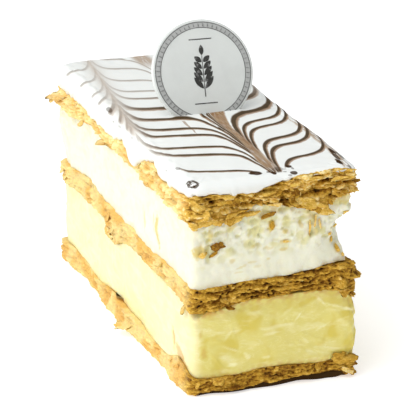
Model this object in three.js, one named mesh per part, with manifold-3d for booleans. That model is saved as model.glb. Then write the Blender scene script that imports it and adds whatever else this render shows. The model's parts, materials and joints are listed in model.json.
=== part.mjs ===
import * as THREE from "three";
import { mergeVertices } from "three/addons/utils/BufferGeometryUtils.js";
import Module from "manifold-3d";

// A cut slice of double cream mille-feuille: three pressed puff pastry layers, set custard between
// the lower two, whipped cream between the upper two, white fondant icing on top, and a thin round
// plaque stood in the icing. Millimetres, +Z up, length along Y, with the cut end at -Y as the front.

// Driving sizes of the slice and of the plaque.
const WIDTH = 50;
const LENGTH = 122;
const CORNER_SQUARENESS = 5;
const FIT_GAP = 0.3;
const PLAQUE_DIAMETER = 31.8;
const PLAQUE_THICKNESS = 1.8;
const PLAQUE_EDGE_ROUND = 0.35;
const PLAQUE_SINK = 3.5;
const PLAQUE_TURN = THREE.MathUtils.degToRad(0);
const PLAQUE_LEAN = THREE.MathUtils.degToRad(21);
const PLAQUE_FOOT = new THREE.Vector2(1.35, -1.8);

// How finely each side of the outline is divided, how deep the ragged rim of a layer reaches in,
// and the corner round of the level middle inside it.
const SIDE_STEPS = { front: 26, right: 30, back: 16, left: 38 };
const RIM_DEPTH = 6;
const MIDDLE_ROUND = 1;

// Places on the outline, as a distance along it from the front left corner, counter-clockwise from
// above. Each takes the distance from the front left corner along its own side.
const OUTLINE_LENGTH = 2 * (WIDTH + LENGTH);
const front = (x) => x;
const right = (y) => WIDTH + y;
const back = (x) => WIDTH + LENGTH + (WIDTH - x);
const left = (y) => OUTLINE_LENGTH - y;

// Smooth noise from -1 to 1, the same on every run.
function lattice(i, j, k) {
  const value = Math.sin(i * 127.1 + j * 311.7 + k * 74.7) * 43758.5453;
  return 2 * (value - Math.floor(value)) - 1;
}

function noise(x, y, z) {
  const [i, j, k] = [x, y, z].map(Math.floor);
  const [u, v, w] = [x - i, y - j, z - k].map((f) => f * f * (3 - 2 * f));
  const mix = THREE.MathUtils.lerp;
  const row = (dj, dk) => mix(lattice(i, j + dj, k + dk), lattice(i + 1, j + dj, k + dk), u);
  return mix(mix(row(0, 0), row(1, 0), v), mix(row(0, 1), row(1, 1), v), w);
}

// The outline's sample points. Each lies on a ray that starts in the level middle, points outward
// and carries the same point of every layer, and each knows its distance along the outline.
function outlinePoints() {
  const sides = [
    { steps: SIDE_STEPS.front, from: front(0), length: WIDTH },
    { steps: SIDE_STEPS.right, from: right(0), length: LENGTH },
    { steps: SIDE_STEPS.back, from: back(WIDTH), length: WIDTH },
    { steps: SIDE_STEPS.left, from: left(LENGTH), length: LENGTH },
  ];
  const corners = [
    new THREE.Vector2(-WIDTH / 2, -LENGTH / 2),
    new THREE.Vector2(WIDTH / 2, -LENGTH / 2),
    new THREE.Vector2(WIDTH / 2, LENGTH / 2),
    new THREE.Vector2(-WIDTH / 2, LENGTH / 2),
  ];
  const inward = RIM_DEPTH + MIDDLE_ROUND;
  const coreX = WIDTH / 2 - inward;
  const coreY = LENGTH / 2 - inward;
  const power = CORNER_SQUARENESS;
  return sides.flatMap(({ steps, from, length }, side) =>
    Array.from({ length: steps }, (_, n) => {
      const share = (n + 0.5) / steps;
      const square = corners[side].clone().lerp(corners[(side + 1) % 4], share);
      const core = new THREE.Vector2(
        THREE.MathUtils.clamp(square.x, -coreX, coreX),
        THREE.MathUtils.clamp(square.y, -coreY, coreY),
      );
      const outward = square.clone().sub(core).normalize();
      const spread = Math.abs(outward.x) ** power + Math.abs(outward.y) ** power;
      const reach = inward / spread ** (1 / power);
      const rounded = core.clone().addScaledVector(outward, reach);
      return { core, outward, reach, rounded, along: from + share * length };
    }),
  );
}

const OUTLINE = outlinePoints();

// A bump of height 1 at a place, fading out over a reach along the outline.
function near(point, place, reach) {
  const apart = Math.abs(point.along - place);
  const distance = Math.min(apart, OUTLINE_LENGTH - apart) / reach;
  return Math.exp(-distance * distance);
}

const sumNear = (point, bumps) =>
  bumps.reduce((sum, { at, reach, by }) => sum + by * near(point, at, reach), 0);

// The surfaces where the layers meet. Each has a mean height, a tilt across the width, the depth of
// its small waves, and the places at the rim where it sags or rises.
const SURFACES = {
  custardFloor: {
    height: 5.6,
    tilt: 0,
    wave: 0.45,
    bumps: [
      { at: left(9), reach: 6, by: 4.2 },
      { at: front(25), reach: 9, by: 0.7 },
      { at: front(49), reach: 5, by: 1.2 },
      { at: left(48), reach: 9, by: 1.3 },
      { at: left(34), reach: 5, by: -1.3 },
      { at: left(67), reach: 8, by: 1.6 },
      { at: left(84), reach: 6, by: -1 },
      { at: left(106), reach: 14, by: 1.3 },
      { at: right(62), reach: 10, by: 1.2 },
    ],
  },
  custardTop: {
    height: 27.6,
    tilt: 0.01,
    wave: 0.4,
    bumps: [
      { at: left(69), reach: 7, by: -5.2 },
      { at: left(104), reach: 5, by: -0.8 },
      { at: front(1), reach: 6, by: -2.2 },
      { at: front(9), reach: 4, by: -1.6 },
      { at: right(1), reach: 3.4, by: -5 },
      { at: right(74), reach: 8, by: -2.2 },
      { at: back(20), reach: 6, by: -1.6 },
    ],
  },
  creamFloor: {
    height: 33.9,
    tilt: 0.035,
    wave: 0.35,
    bumps: [
      { at: front(2), reach: 8, by: -1 },
      { at: front(46), reach: 8, by: 1.2 },
      { at: left(38), reach: 7, by: -1.2 },
      { at: left(70), reach: 8, by: -0.7 },
      { at: left(96), reach: 12, by: 1.9 },
    ],
  },
  creamTop: {
    height: 55,
    tilt: 0.05,
    wave: 0.5,
    bumps: [
      { at: front(3), reach: 6, by: -2 },
      { at: front(20), reach: 4, by: 1.4 },
      { at: front(37), reach: 6, by: -2.6 },
      { at: left(36), reach: 9, by: -2.2 },
      { at: left(62), reach: 14, by: -1 },
      { at: left(112), reach: 12, by: -2.2 },
      { at: right(40), reach: 9, by: -1.3 },
    ],
  },
  icingFloor: {
    height: 60.4,
    tilt: 0.05,
    wave: 0.3,
    bumps: [
      { at: left(112), reach: 18, by: -1.5 },
      { at: left(85), reach: 14, by: -1.7 },
      { at: left(70), reach: 7, by: -1.9 },
      { at: left(49), reach: 5.5, by: -4.8 },
      { at: left(32), reach: 4, by: 1.6 },
      { at: left(25), reach: 4, by: -1.2 },
      { at: front(2), reach: 9, by: 1.9 },
      { at: front(20), reach: 7, by: 0.7 },
      { at: front(30), reach: 6, by: 1.7 },
      { at: front(43), reach: 10, by: 2.3 },
      { at: right(50), reach: 7, by: -1.5 },
      { at: back(30), reach: 8, by: -0.9 },
    ],
  },
};
const WAVE_SIZE = 9;
const ICING_TOP = 64.6;

// The height of a surface where a layer's edge stands a given way out of the outline. It runs
// straight along each ray, from the level middle to the rim and on past it.
function surfaceHeight(surface, point, plan, out) {
  const { rounded, reach } = point;
  const [x, y] = [rounded.x / WAVE_SIZE, rounded.y / WAVE_SIZE];
  const rim = surface.wave * noise(x, y, surface.height) + sumNear(point, surface.bumps);
  const share = 1 + out / (reach - MIDDLE_ROUND);
  return surface.height + surface.tilt * plan.x + rim * share;
}

// The ring of points where a layer's rim ends and its level middle starts.
function innerRing(heightAt) {
  return OUTLINE.filter((_, n) => n % 2 === 0).map(({ core, outward }) => {
    const plan = core.clone().addScaledVector(outward, MIDDLE_ROUND);
    return new THREE.Vector3(plan.x, plan.y, heightAt(plan.x));
  });
}

const levelOf = (surface, gap) => (x) => surface.height + surface.tilt * x + gap;

// A closed mesh through a stack of rings. The wall's rings have one point for each outline point,
// the first and last ring have half as many, and each of those two closes to a middle point.
function loft(floorRing, wallRings, roofRing) {
  const rings = [floorRing, ...wallRings, roofRing];
  const starts = [];
  const positions = [];
  for (const ring of rings) {
    starts.push(positions.length / 3);
    ring.forEach((point) => positions.push(point.x, point.y, point.z));
  }
  const middle = (ring) => {
    const height = ring.reduce((sum, point) => sum + point.z, 0) / ring.length;
    positions.push(0, 0, height);
    return positions.length / 3 - 1;
  };
  const index = [];
  const count = OUTLINE.length;
  const half = count / 2;
  const floorMiddle = middle(floorRing);
  const roofMiddle = middle(roofRing);
  for (let n = 0; n < half; n++) {
    const next = (n + 1) % half;
    const floor = starts[0];
    const roof = starts[starts.length - 1];
    index.push(floorMiddle, floor + next, floor + n);
    index.push(roofMiddle, roof + n, roof + next);
    const low = starts[1];
    const high = starts[starts.length - 2];
    const [first, second, third] = [2 * n, 2 * n + 1, (2 * n + 2) % count];
    index.push(floor + n, low + second, low + first);
    index.push(floor + n, floor + next, low + second);
    index.push(floor + next, low + third, low + second);
    index.push(roof + n, high + first, high + second);
    index.push(roof + n, high + second, roof + next);
    index.push(roof + next, high + second, high + third);
  }
  for (let row = 1; row < starts.length - 2; row++) {
    for (let n = 0; n < count; n++) {
      const next = (n + 1) % count;
      const [low, high] = [starts[row], starts[row + 1]];
      index.push(low + n, low + next, high + next);
      index.push(low + n, high + next, high + n);
    }
  }
  const geometry = new THREE.BufferGeometry();
  geometry.setAttribute("position", new THREE.Float32BufferAttribute(positions, 3));
  geometry.setIndex(index);
  return geometry;
}

// The wall of a layer between two surfaces. Each row gives a share of the height and how far the
// wall stands out of the outline there.
function wallRings(rows, floorAt, roofAt) {
  return rows.map(({ share, standOut }) =>
    OUTLINE.map((point, n) => {
      const out = standOut(point, n);
      const plan = point.rounded.clone().addScaledVector(point.outward, out);
      const low = floorAt(point, plan, out);
      const high = roofAt(point, plan, out);
      const at = typeof share === "function" ? share(point) : share;
      return new THREE.Vector3(plan.x, plan.y, THREE.MathUtils.lerp(low, high, at));
    }),
  );
}

const lifted = (surface, gap) => (point, plan, out) =>
  surfaceHeight(surface, point, plan, out) + gap;

// Pressed puff pastry: thin leaves one on another, each with its own ragged edge, and a groove
// between one leaf and the next. Shares are of a leaf's thickness, or of the rag or the groove.
const LEAF = {
  tear: 5,
  chip: 0.7,
  wander: 7,
  unevenShare: 0.3,
  grooveShare: 0.14,
  grooveLeast: 0.65,
  grooveVaries: 0.5,
};

function pastryRows({ leaves, seed, rag, groove, standOut }) {
  const noiseAt = ({ rounded }, size, leaf) =>
    noise(rounded.x / size, rounded.y / size, seed + leaf * 3.7);
  const edge = (leaf) => (point, n) =>
    standOut(point) +
    rag * noiseAt(point, LEAF.tear, leaf) +
    rag * LEAF.chip * lattice(n, leaf, seed);
  const shareAt = (leaf, part) => (point) => {
    const uneven = LEAF.unevenShare * noiseAt(point, LEAF.wander, leaf);
    return THREE.MathUtils.clamp((leaf + part + uneven) / leaves, 0, 1);
  };
  const grooveAbove = (leaf) => (point, n) => {
    const deep = groove * (LEAF.grooveLeast + LEAF.grooveVaries * lattice(leaf, n, seed));
    return Math.min(edge(leaf)(point, n), edge(leaf + 1)(point, n)) - deep;
  };
  const rows = [];
  for (let leaf = 0; leaf < leaves; leaf++) {
    const last = leaf === leaves - 1;
    const low = leaf ? shareAt(leaf, LEAF.grooveShare) : 0;
    const high = last ? 1 : shareAt(leaf + 1, -LEAF.grooveShare);
    rows.push({ share: low, standOut: edge(leaf) });
    rows.push({ share: high, standOut: edge(leaf) });
    if (!last) rows.push({ share: shareAt(leaf + 1, 0), standOut: grooveAbove(leaf) });
  }
  return rows;
}

// Cut cream or custard: a nearly flat wall with slow bulges and small tears.
const BULGE_SIZE = 11;
const BULGES_A_ROW = 0.8;

function creamWall({ rows, seed, bulge, standOut }) {
  return (point, share) => {
    const [x, y] = [point.rounded.x / BULGE_SIZE, point.rounded.y / BULGE_SIZE];
    return standOut(point, share) + bulge * noise(x, y, seed + BULGES_A_ROW * rows * share);
  };
}

function creamRows({ rows, seed, tear }, wall) {
  return Array.from({ length: rows + 1 }, (_, row) => ({
    share: row / rows,
    standOut: (point, n) => wall(point, row / rows) + tear * lattice(n, row, seed),
  }));
}

function layer(floor, roof, rows) {
  return loft(
    innerRing(levelOf(floor, FIT_GAP / 2)),
    wallRings(rows, lifted(floor, FIT_GAP / 2), lifted(roof, -FIT_GAP / 2)),
    innerRing(levelOf(roof, -FIT_GAP / 2)),
  );
}

// The bottom pastry rests on a level underside, and its rim curls up a little off the table.
const CURL = { width: 2.4, height: 0.7, uneven: 0.3, size: 6 };

function bottomPastry() {
  const rows = pastryRows({
    leaves: 3,
    seed: 11,
    rag: 0.75,
    groove: 0.9,
    standOut: (point) =>
      sumNear(point, [
        { at: left(9), reach: 9, by: 1.2 },
        { at: left(60), reach: 24, by: 1.6 },
        { at: left(119), reach: 9, by: 1.9 },
        { at: right(0.5), reach: 5, by: 1.9 },
      ]),
  });
  const underside = (point) => {
    const { x, y } = point.rounded;
    const dip = 0.4 * near(point, front(48), 4);
    return CURL.height + CURL.uneven * noise(x / CURL.size, y / CURL.size, 3) - dip;
  };
  return loft(
    innerRing(() => 0),
    [
      OUTLINE.map(({ rounded, outward }) => {
        const plan = rounded.clone().addScaledVector(outward, -CURL.width);
        return new THREE.Vector3(plan.x, plan.y, 0);
      }),
      ...wallRings(rows, underside, lifted(SURFACES.custardFloor, -FIT_GAP / 2)),
    ],
    innerRing(levelOf(SURFACES.custardFloor, -FIT_GAP / 2)),
  );
}

function custard() {
  const cut = {
    rows: 5,
    seed: 23,
    bulge: 0.5,
    tear: 0.14,
    standOut: (point, share) => {
      const belly = Math.sin(Math.PI * share);
      const atRight = near(point, right(1), 5) * (1.3 + 0.9 * belly);
      return -0.4 + 0.5 * belly + atRight - near(point, front(1), 5) * 1.2 * share;
    },
  };
  return layer(SURFACES.custardFloor, SURFACES.custardTop, creamRows(cut, creamWall(cut)));
}

function middlePastry() {
  const rows = pastryRows({
    leaves: 3,
    seed: 37,
    rag: 0.7,
    groove: 1,
    standOut: (point) =>
      sumNear(point, [
        { at: right(1), reach: 7, by: 1.7 },
        { at: left(66), reach: 10, by: 0.9 },
        { at: left(119), reach: 9, by: 1.7 },
      ]),
  });
  return layer(SURFACES.custardTop, SURFACES.creamFloor, rows);
}

// The top of the slice leans out over its back end.
const BACK_LEAN = [
  { at: back(10), reach: 15, by: 2.6 },
  { at: back(38), reach: 16, by: 2.6 },
];

// Torn bites and dents in the whipped cream's wall, the deepest at the front right corner, and
// places where it bulges instead.
const CREAM_BITES = [
  { at: right(1), reach: 6.5, height: 0.42, spread: 0.22, deep: 6.2 },
  { at: right(1), reach: 5, height: 0.8, spread: 0.14, deep: -1.2 },
  { at: left(117), reach: 9, height: 0.6, spread: 0.45, deep: -2.4 },
  { at: back(24), reach: 26, height: 1, spread: 0.5, deep: -2.6 },
  { at: right(30), reach: 9, height: 0.4, spread: 0.3, deep: 1.8 },
  { at: right(92), reach: 10, height: 0.6, spread: 0.3, deep: 1.5 },
  { at: left(60), reach: 12, height: 0.45, spread: 0.3, deep: 0.8 },
  { at: back(22), reach: 7, height: 0.5, spread: 0.25, deep: 1.8 },
];
const WHIPPED_CUT = {
  rows: 6,
  seed: 41,
  bulge: 0.7,
  tear: 0.3,
  standOut: (point, share) => {
    const bitten = CREAM_BITES.map(({ at, reach, height, spread, deep }) => {
      const level = (share - height) / spread;
      return near(point, at, reach) * deep * Math.exp(-level * level);
    });
    return -0.7 - bitten.reduce((sum, deep) => sum + deep, 0);
  },
};
const whippedWall = creamWall(WHIPPED_CUT);

function whippedCream() {
  const rows = creamRows(WHIPPED_CUT, whippedWall);
  return layer(SURFACES.creamFloor, SURFACES.creamTop, rows);
}

function topPastry() {
  const rows = pastryRows({
    leaves: 4,
    seed: 53,
    rag: 0.9,
    groove: 1.1,
    standOut: (point) =>
      0.3 +
      sumNear(point, BACK_LEAN) +
      sumNear(point, [
        { at: left(14), reach: 14, by: 1.1 },
        { at: left(88), reach: 26, by: 1 },
        { at: left(112), reach: 5, by: 1.6 },
        { at: right(1), reach: 6, by: 0.6 },
      ]),
  });
  return layer(SURFACES.creamTop, SURFACES.icingFloor, rows);
}

// Poured icing: a level top that rounds over into a thick lip. Drips stand out most at the foot.
function icing() {
  const wander = { size: 10, out: 0.35 };
  const dripFade = 0.6;
  const floor = SURFACES.icingFloor;
  const drips = [
    { at: left(49), reach: 7, by: 1.1 },
    { at: right(28), reach: 20, by: 0.9 },
    { at: left(85), reach: 20, by: 0.7 },
    { at: left(33), reach: 5, by: -1.2 },
    { at: front(15), reach: 10, by: 0.7 },
    { at: front(27), reach: 3, by: -0.6 },
  ];
  const profile = [
    [0, 0.1],
    [0.2, 0.7],
    [0.62, 0.55],
    [0.9, -0.35],
    [1, -1.7],
  ];
  const rows = profile.map(([share, out]) => ({
    share,
    standOut: (point) => {
      const [x, y] = [point.rounded.x / wander.size, point.rounded.y / wander.size];
      const drip = sumNear(point, drips) * (1 - dripFade * share);
      return out + drip + sumNear(point, BACK_LEAN) + wander.out * noise(x, y, 61);
    },
  }));
  return loft(
    innerRing(levelOf(floor, FIT_GAP / 2)),
    wallRings(rows, lifted(floor, FIT_GAP / 2), () => ICING_TOP),
    innerRing(() => ICING_TOP),
  );
}

// The plaque's disc, with its axis along Y, or the same disc grown by a clearance.
const PLAQUE_SEGMENTS = 40;

function plaqueDisc(clearance = 0) {
  const radius = PLAQUE_DIAMETER / 2 + clearance;
  const half = PLAQUE_THICKNESS / 2 + clearance;
  const round = PLAQUE_EDGE_ROUND;
  const profile = [
    [0, -half],
    [radius - round, -half],
    [radius, -half + round],
    [radius, half - round],
    [radius - round, half],
    [0, half],
  ];
  return new THREE.LatheGeometry(
    profile.map(([x, y]) => new THREE.Vector2(x, y)),
    PLAQUE_SEGMENTS,
  );
}

// Stands a disc in the icing: leant back, facing the front, its foot sunk in the icing.
function standPlaque(geometry) {
  const mesh = new THREE.Mesh(geometry);
  mesh.position.z = PLAQUE_DIAMETER / 2 - PLAQUE_SINK;
  const lean = new THREE.Group().add(mesh);
  lean.rotation.x = -PLAQUE_LEAN;
  const foot = new THREE.Group().add(lean);
  foot.rotation.z = PLAQUE_TURN;
  foot.position.set(PLAQUE_FOOT.x, PLAQUE_FOOT.y, ICING_TOP);
  foot.updateMatrixWorld(true);
  return mesh;
}

// A torn leaf of pastry: an uneven outline, pressed thin and bent along its length.
const FLAKE = { sides: 7, uneven: 0.32, crumple: 0.25 };

function flakeGeometry({ length, width, thickness, bend, seed }) {
  const outline = new THREE.Shape();
  for (let n = 0; n < FLAKE.sides; n++) {
    const angle = (2 * Math.PI * n) / FLAKE.sides;
    const size = 0.5 * (1 + FLAKE.uneven * lattice(n, seed, 5));
    const [x, y] = [length * size * Math.cos(angle), width * size * Math.sin(angle)];
    if (n) outline.lineTo(x, y);
    else outline.moveTo(x, y);
  }
  outline.closePath();
  const geometry = new THREE.ExtrudeGeometry(outline, {
    depth: thickness,
    bevelEnabled: false,
    steps: 1,
  });
  const position = geometry.getAttribute("position");
  for (let n = 0; n < position.count; n++) {
    const x = position.getX(n) / (length / 2);
    const crumple = FLAKE.crumple * thickness * lattice(Math.round(3 * x), seed, 8);
    const lift = bend * x * x + crumple;
    position.setZ(n, position.getZ(n) + lift);
  }
  return geometry;
}

const nearestPoint = (at) =>
  OUTLINE.reduce((best, candidate) =>
    Math.abs(candidate.along - at) < Math.abs(best.along - at) ? candidate : best,
  );

// Sets a flake on the wall at a place and height. Lying flakes press flat on the wall, and the
// others stand out of it like a lifted leaf.
function placeFlake({ at, height, standOut, lying, roll, droop = 0, ...size }) {
  const point = nearestPoint(at);
  const out = standOut(point);
  const outward = new THREE.Vector3(point.outward.x, point.outward.y, 0);
  const tangent = new THREE.Vector3(-outward.y, outward.x, 0);
  const up = new THREE.Vector3(0, 0, 1);
  const facing = lying ? outward : up;
  const across = lying ? up : outward.clone().negate();
  const basis = new THREE.Matrix4().makeBasis(tangent, across, facing);
  const spin = new THREE.Matrix4().makeRotationZ(roll);
  const tip = new THREE.Matrix4().makeRotationX(droop);
  const geometry = flakeGeometry(size);
  geometry.applyMatrix4(spin).applyMatrix4(tip).applyMatrix4(basis);
  geometry.translate(
    point.rounded.x + outward.x * out,
    point.rounded.y + outward.y * out,
    height,
  );
  return geometry;
}

const wasm = await Module();
wasm.setup();

function solidOf(geometry, matrix = new THREE.Matrix4()) {
  const bare = geometry.clone().applyMatrix4(matrix);
  bare.deleteAttribute("normal");
  bare.deleteAttribute("uv");
  const merged = mergeVertices(bare, 1e-4);
  return new wasm.Manifold(
    new wasm.Mesh({
      numProp: 3,
      vertProperties: new Float32Array(merged.getAttribute("position").array),
      triVerts: new Uint32Array(merged.index.array),
    }),
  );
}

function geometryOf(solid) {
  const mesh = solid.getMesh();
  const geometry = new THREE.BufferGeometry();
  geometry.setAttribute("position", new THREE.BufferAttribute(mesh.vertProperties, 3));
  geometry.setIndex(new THREE.BufferAttribute(mesh.triVerts, 1));
  return geometry;
}

// Fuses flakes to a layer, and skips any that would cross one of the layer's neighbours, hang by
// too little of themselves or hardly show.
const LEAST_BURIED = 0.05;
const MOST_BURIED = 0.9;

function withFlakes(solid, flakes, neighbours) {
  return flakes.reduce((grown, flake) => {
    const piece = solidOf(placeFlake(flake));
    const crosses = neighbours.some((other) => other.intersect(piece).volume() > 0);
    const buried = piece.intersect(solid).volume() / piece.volume();
    const skipped = crosses || buried < LEAST_BURIED || buried > MOST_BURIED;
    return skipped ? grown : grown.add(piece);
  }, solid);
}

// Lifted leaves along a pastry layer's wall, spread by a fixed rule between these least and most
// sizes and angles.
const LIFTED = {
  roll: [-0.35, 0.35],
  droop: [-0.25, 0.25],
  length: [5, 10],
  width: [3.4, 5],
  thickness: [0.55, 0.8],
  bend: [-0.28, 0.42],
};
const LIFTED_OUT = [-0.8, 0.1];

function liftedLeaves({ count, seed, heights }) {
  return Array.from({ length: count }, (_, n) => {
    const draw = (k, [least, most]) =>
      THREE.MathUtils.mapLinear(lattice(n, k, seed), -1, 1, least, most);
    const out = draw(3, LIFTED_OUT);
    const sizes = Object.entries(LIFTED).map(([name, range], k) => [name, draw(k + 4, range)]);
    return {
      at: OUTLINE_LENGTH * draw(1, [n / count, (n + 0.8) / count]),
      height: draw(2, heights),
      standOut: () => out,
      lying: false,
      seed: seed + n,
      ...Object.fromEntries(sizes),
    };
  });
}

// Larger torn leaves that stand off the pastry at places of their own.
const TORN_LEAVES = {
  bottom_pastry: [
    { at: left(50), height: 2, out: 1.9, length: 4, width: 7, droop: 0.1, seed: 121 },
    { at: right(2), height: 2.6, out: 1.6, length: 4.5, width: 5, droop: 0.35, seed: 122 },
  ],
  middle_pastry: [
    { at: right(4), height: 30.4, out: 1.2, length: 7, width: 5, droop: -0.15, seed: 123 },
  ],
  top_pastry: [
    { at: left(116), height: 54.6, out: 2.4, length: 7, width: 10, droop: 0.25, seed: 124 },
    { at: front(9), height: 54.2, out: -0.2, length: 9, width: 3.6, droop: 0.2, seed: 125 },
    { at: front(38), height: 54.6, out: -0.1, length: 9, width: 4, droop: 0.35, seed: 126 },
  ],
};

const tornLeaves = (name) =>
  TORN_LEAVES[name].map(({ out, ...leaf }) => ({
    ...leaf,
    standOut: () => out,
    lying: false,
    roll: 0,
    thickness: 0.8,
    bend: 0.3,
  }));

// Pastry flakes that lie on the whipped cream where the knife dragged them down, sunk in it to
// about a third of their thickness.
const CREAM_HEIGHT = SURFACES.creamTop.height - SURFACES.creamFloor.height;
const CREAM_FLAKE_SINK = 0.35;
const CREAM_FLAKES = [
  { at: front(8.2), height: 45.5, length: 4.4, width: 3.2, roll: 0.3 },
  { at: front(14), height: 50.3, length: 2.8, width: 2.4, roll: 0.8 },
  { at: front(25), height: 50, length: 2.6, width: 4.6, roll: 0.1 },
  { at: front(37), height: 49, length: 2.4, width: 6, roll: 0.15 },
  { at: front(29), height: 46.5, length: 3, width: 1.8, roll: -0.2 },
  { at: left(29), height: 42, length: 4.2, width: 8.5, roll: 0.1 },
  { at: left(2.5), height: 44.5, length: 4.5, width: 3, roll: 0.5 },
  { at: right(52), height: 46, length: 4, width: 6, roll: 0.4 },
  { at: right(84), height: 41, length: 3.4, width: 5, roll: -0.5 },
].map((flake, n) => {
  const share = (flake.height - SURFACES.creamFloor.height) / CREAM_HEIGHT;
  const standOut = (point) => whippedWall(point, share) - CREAM_FLAKE_SINK;
  return { ...flake, standOut, lying: true, thickness: 0.9, bend: 0.1, seed: 70 + n };
});

const plaque = standPlaque(plaqueDisc());
const pocket = solidOf(standPlaque(plaqueDisc(FIT_GAP)).geometry, plaque.matrixWorld);
const bare = {
  bottom_pastry: solidOf(bottomPastry()),
  custard: solidOf(custard()),
  middle_pastry: solidOf(middlePastry()),
  whipped_cream: solidOf(whippedCream()),
  top_pastry: solidOf(topPastry()),
  icing: solidOf(icing()).subtract(pocket),
};
const cream = withFlakes(bare.whipped_cream, CREAM_FLAKES, [bare.middle_pastry, bare.top_pastry]);
const solids = {
  ...bare,
  whipped_cream: cream,
  bottom_pastry: withFlakes(
    bare.bottom_pastry,
    [...liftedLeaves({ count: 5, seed: 81, heights: [2.2, 4.2] }), ...tornLeaves("bottom_pastry")],
    [bare.custard],
  ),
  middle_pastry: withFlakes(
    bare.middle_pastry,
    [...liftedLeaves({ count: 7, seed: 91, heights: [29, 32] }), ...tornLeaves("middle_pastry")],
    [bare.custard, cream],
  ),
  top_pastry: withFlakes(
    bare.top_pastry,
    [...liftedLeaves({ count: 9, seed: 101, heights: [56.4, 59.4] }), ...tornLeaves("top_pastry")],
    [cream, bare.icing],
  ),
};

const MATERIALS = {
  bottom_pastry: { color: 0xc9953f, roughness: 0.8, metalness: 0 },
  custard: { color: 0xf1e08a, roughness: 0.4, metalness: 0 },
  middle_pastry: { color: 0xc48f3d, roughness: 0.8, metalness: 0 },
  whipped_cream: { color: 0xf4f0dc, roughness: 0.55, metalness: 0 },
  top_pastry: { color: 0xcc9440, roughness: 0.8, metalness: 0 },
  icing: { color: 0xf8f8f4, roughness: 0.25, metalness: 0 },
};

const slice = new THREE.Group();
for (const [name, solid] of Object.entries(solids)) {
  const material = new THREE.MeshStandardMaterial(MATERIALS[name]);
  const mesh = new THREE.Mesh(geometryOf(solid), material);
  mesh.name = name;
  slice.add(mesh);
}
plaque.name = "plaque";
plaque.material = new THREE.MeshStandardMaterial({
  color: 0xdcdfdc,
  roughness: 0.4,
  metalness: 0,
});
slice.add(plaque.parent.parent);

// The part's origin is the middle of its base.
const bounds = new THREE.Box3().setFromObject(slice, true);
const middle = bounds.getCenter(new THREE.Vector3());
slice.position.set(-middle.x, -middle.y, 0);
const part = new THREE.Group();
part.add(slice);

export default part;
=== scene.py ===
"""A cut slice of double cream mille-feuille: leaves, two creams, feathered icing and a plaque."""

import json
from collections import namedtuple
from functools import partialmethod
from math import cos, pi, radians, sin

import bpy
import numpy as np
from bpy.props import FloatProperty, FloatVectorProperty, IntProperty, PointerProperty
from mathutils import Matrix, Vector
from mathutils.bvhtree import BVHTree

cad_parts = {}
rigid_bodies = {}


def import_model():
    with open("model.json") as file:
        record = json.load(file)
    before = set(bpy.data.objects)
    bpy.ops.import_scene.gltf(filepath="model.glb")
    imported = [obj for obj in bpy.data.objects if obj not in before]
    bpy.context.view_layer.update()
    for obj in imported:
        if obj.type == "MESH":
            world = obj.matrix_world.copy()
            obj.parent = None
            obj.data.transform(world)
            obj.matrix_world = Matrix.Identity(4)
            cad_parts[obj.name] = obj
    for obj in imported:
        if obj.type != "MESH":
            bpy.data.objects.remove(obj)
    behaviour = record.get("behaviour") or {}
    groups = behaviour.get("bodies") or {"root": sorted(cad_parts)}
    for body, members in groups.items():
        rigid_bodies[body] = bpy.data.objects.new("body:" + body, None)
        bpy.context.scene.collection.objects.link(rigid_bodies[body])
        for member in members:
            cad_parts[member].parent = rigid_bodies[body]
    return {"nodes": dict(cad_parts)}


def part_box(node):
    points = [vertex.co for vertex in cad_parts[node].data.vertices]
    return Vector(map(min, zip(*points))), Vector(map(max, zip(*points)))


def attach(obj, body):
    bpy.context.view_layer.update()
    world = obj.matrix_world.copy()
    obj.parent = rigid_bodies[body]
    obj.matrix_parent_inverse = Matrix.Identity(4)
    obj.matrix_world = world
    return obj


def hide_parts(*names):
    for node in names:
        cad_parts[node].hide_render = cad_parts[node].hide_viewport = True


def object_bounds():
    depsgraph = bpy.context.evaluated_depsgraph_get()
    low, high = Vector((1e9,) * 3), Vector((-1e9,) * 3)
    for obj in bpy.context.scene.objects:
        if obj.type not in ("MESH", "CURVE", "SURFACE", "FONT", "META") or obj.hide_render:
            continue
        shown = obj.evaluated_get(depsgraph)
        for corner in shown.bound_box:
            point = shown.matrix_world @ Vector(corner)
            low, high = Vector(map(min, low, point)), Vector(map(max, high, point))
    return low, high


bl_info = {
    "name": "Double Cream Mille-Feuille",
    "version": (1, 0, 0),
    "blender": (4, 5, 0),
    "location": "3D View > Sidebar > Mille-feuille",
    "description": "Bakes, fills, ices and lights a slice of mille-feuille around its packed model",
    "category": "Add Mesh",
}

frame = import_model()
CAD_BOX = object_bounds()
MM = 0.001

# The slice's plan and the plaque's stance, in millimetres, as the solids have them.
WIDTH = 50.0
LENGTH = 122.0
PERIMETER = 2 * (WIDTH + LENGTH)
CORNER_SQUARENESS = 5
RIM_DEPTH = 6.0
RIM_INSETS = (0.5, 1.2, 2.2, 3.8)
ICING_RINGS = 22
MIDDLE_ROUND = 1.0
SIDE_STEPS = {"front": 184, "right": 326, "back": 130, "left": 340}
SPINE_SHARE = (0.04, 0.8)
ICING_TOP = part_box("icing")[1].z / MM
PLAQUE_DIAMETER = 31.8
PLAQUE_THICKNESS = 1.8
PLAQUE_SINK = 3.5
PLAQUE_LEAN = radians(21)
PLAQUE_FOOT = (1.35, -1.8)
PLAQUE_STANCE = (
    Matrix.Translation((*PLAQUE_FOOT, ICING_TOP))
    @ Matrix.Rotation(-PLAQUE_LEAN, 4, "X")
    @ Matrix.Translation((0, 0, PLAQUE_DIAMETER / 2 - PLAQUE_SINK))
)


def slice_middle():
    """Where the middle of the slice's plan is in the row frame, from the plaque's place."""
    low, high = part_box("plaque")
    offset = (low + high) / (2 * MM) - PLAQUE_STANCE.translation
    return np.array((offset.x, offset.y, 0.0))


MIDDLE = slice_middle()


# Places on the outline run from its front left corner, so those on the front are plain numbers.
def right(y):
    return WIDTH + y


def left(y):
    return PERIMETER - y


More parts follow.
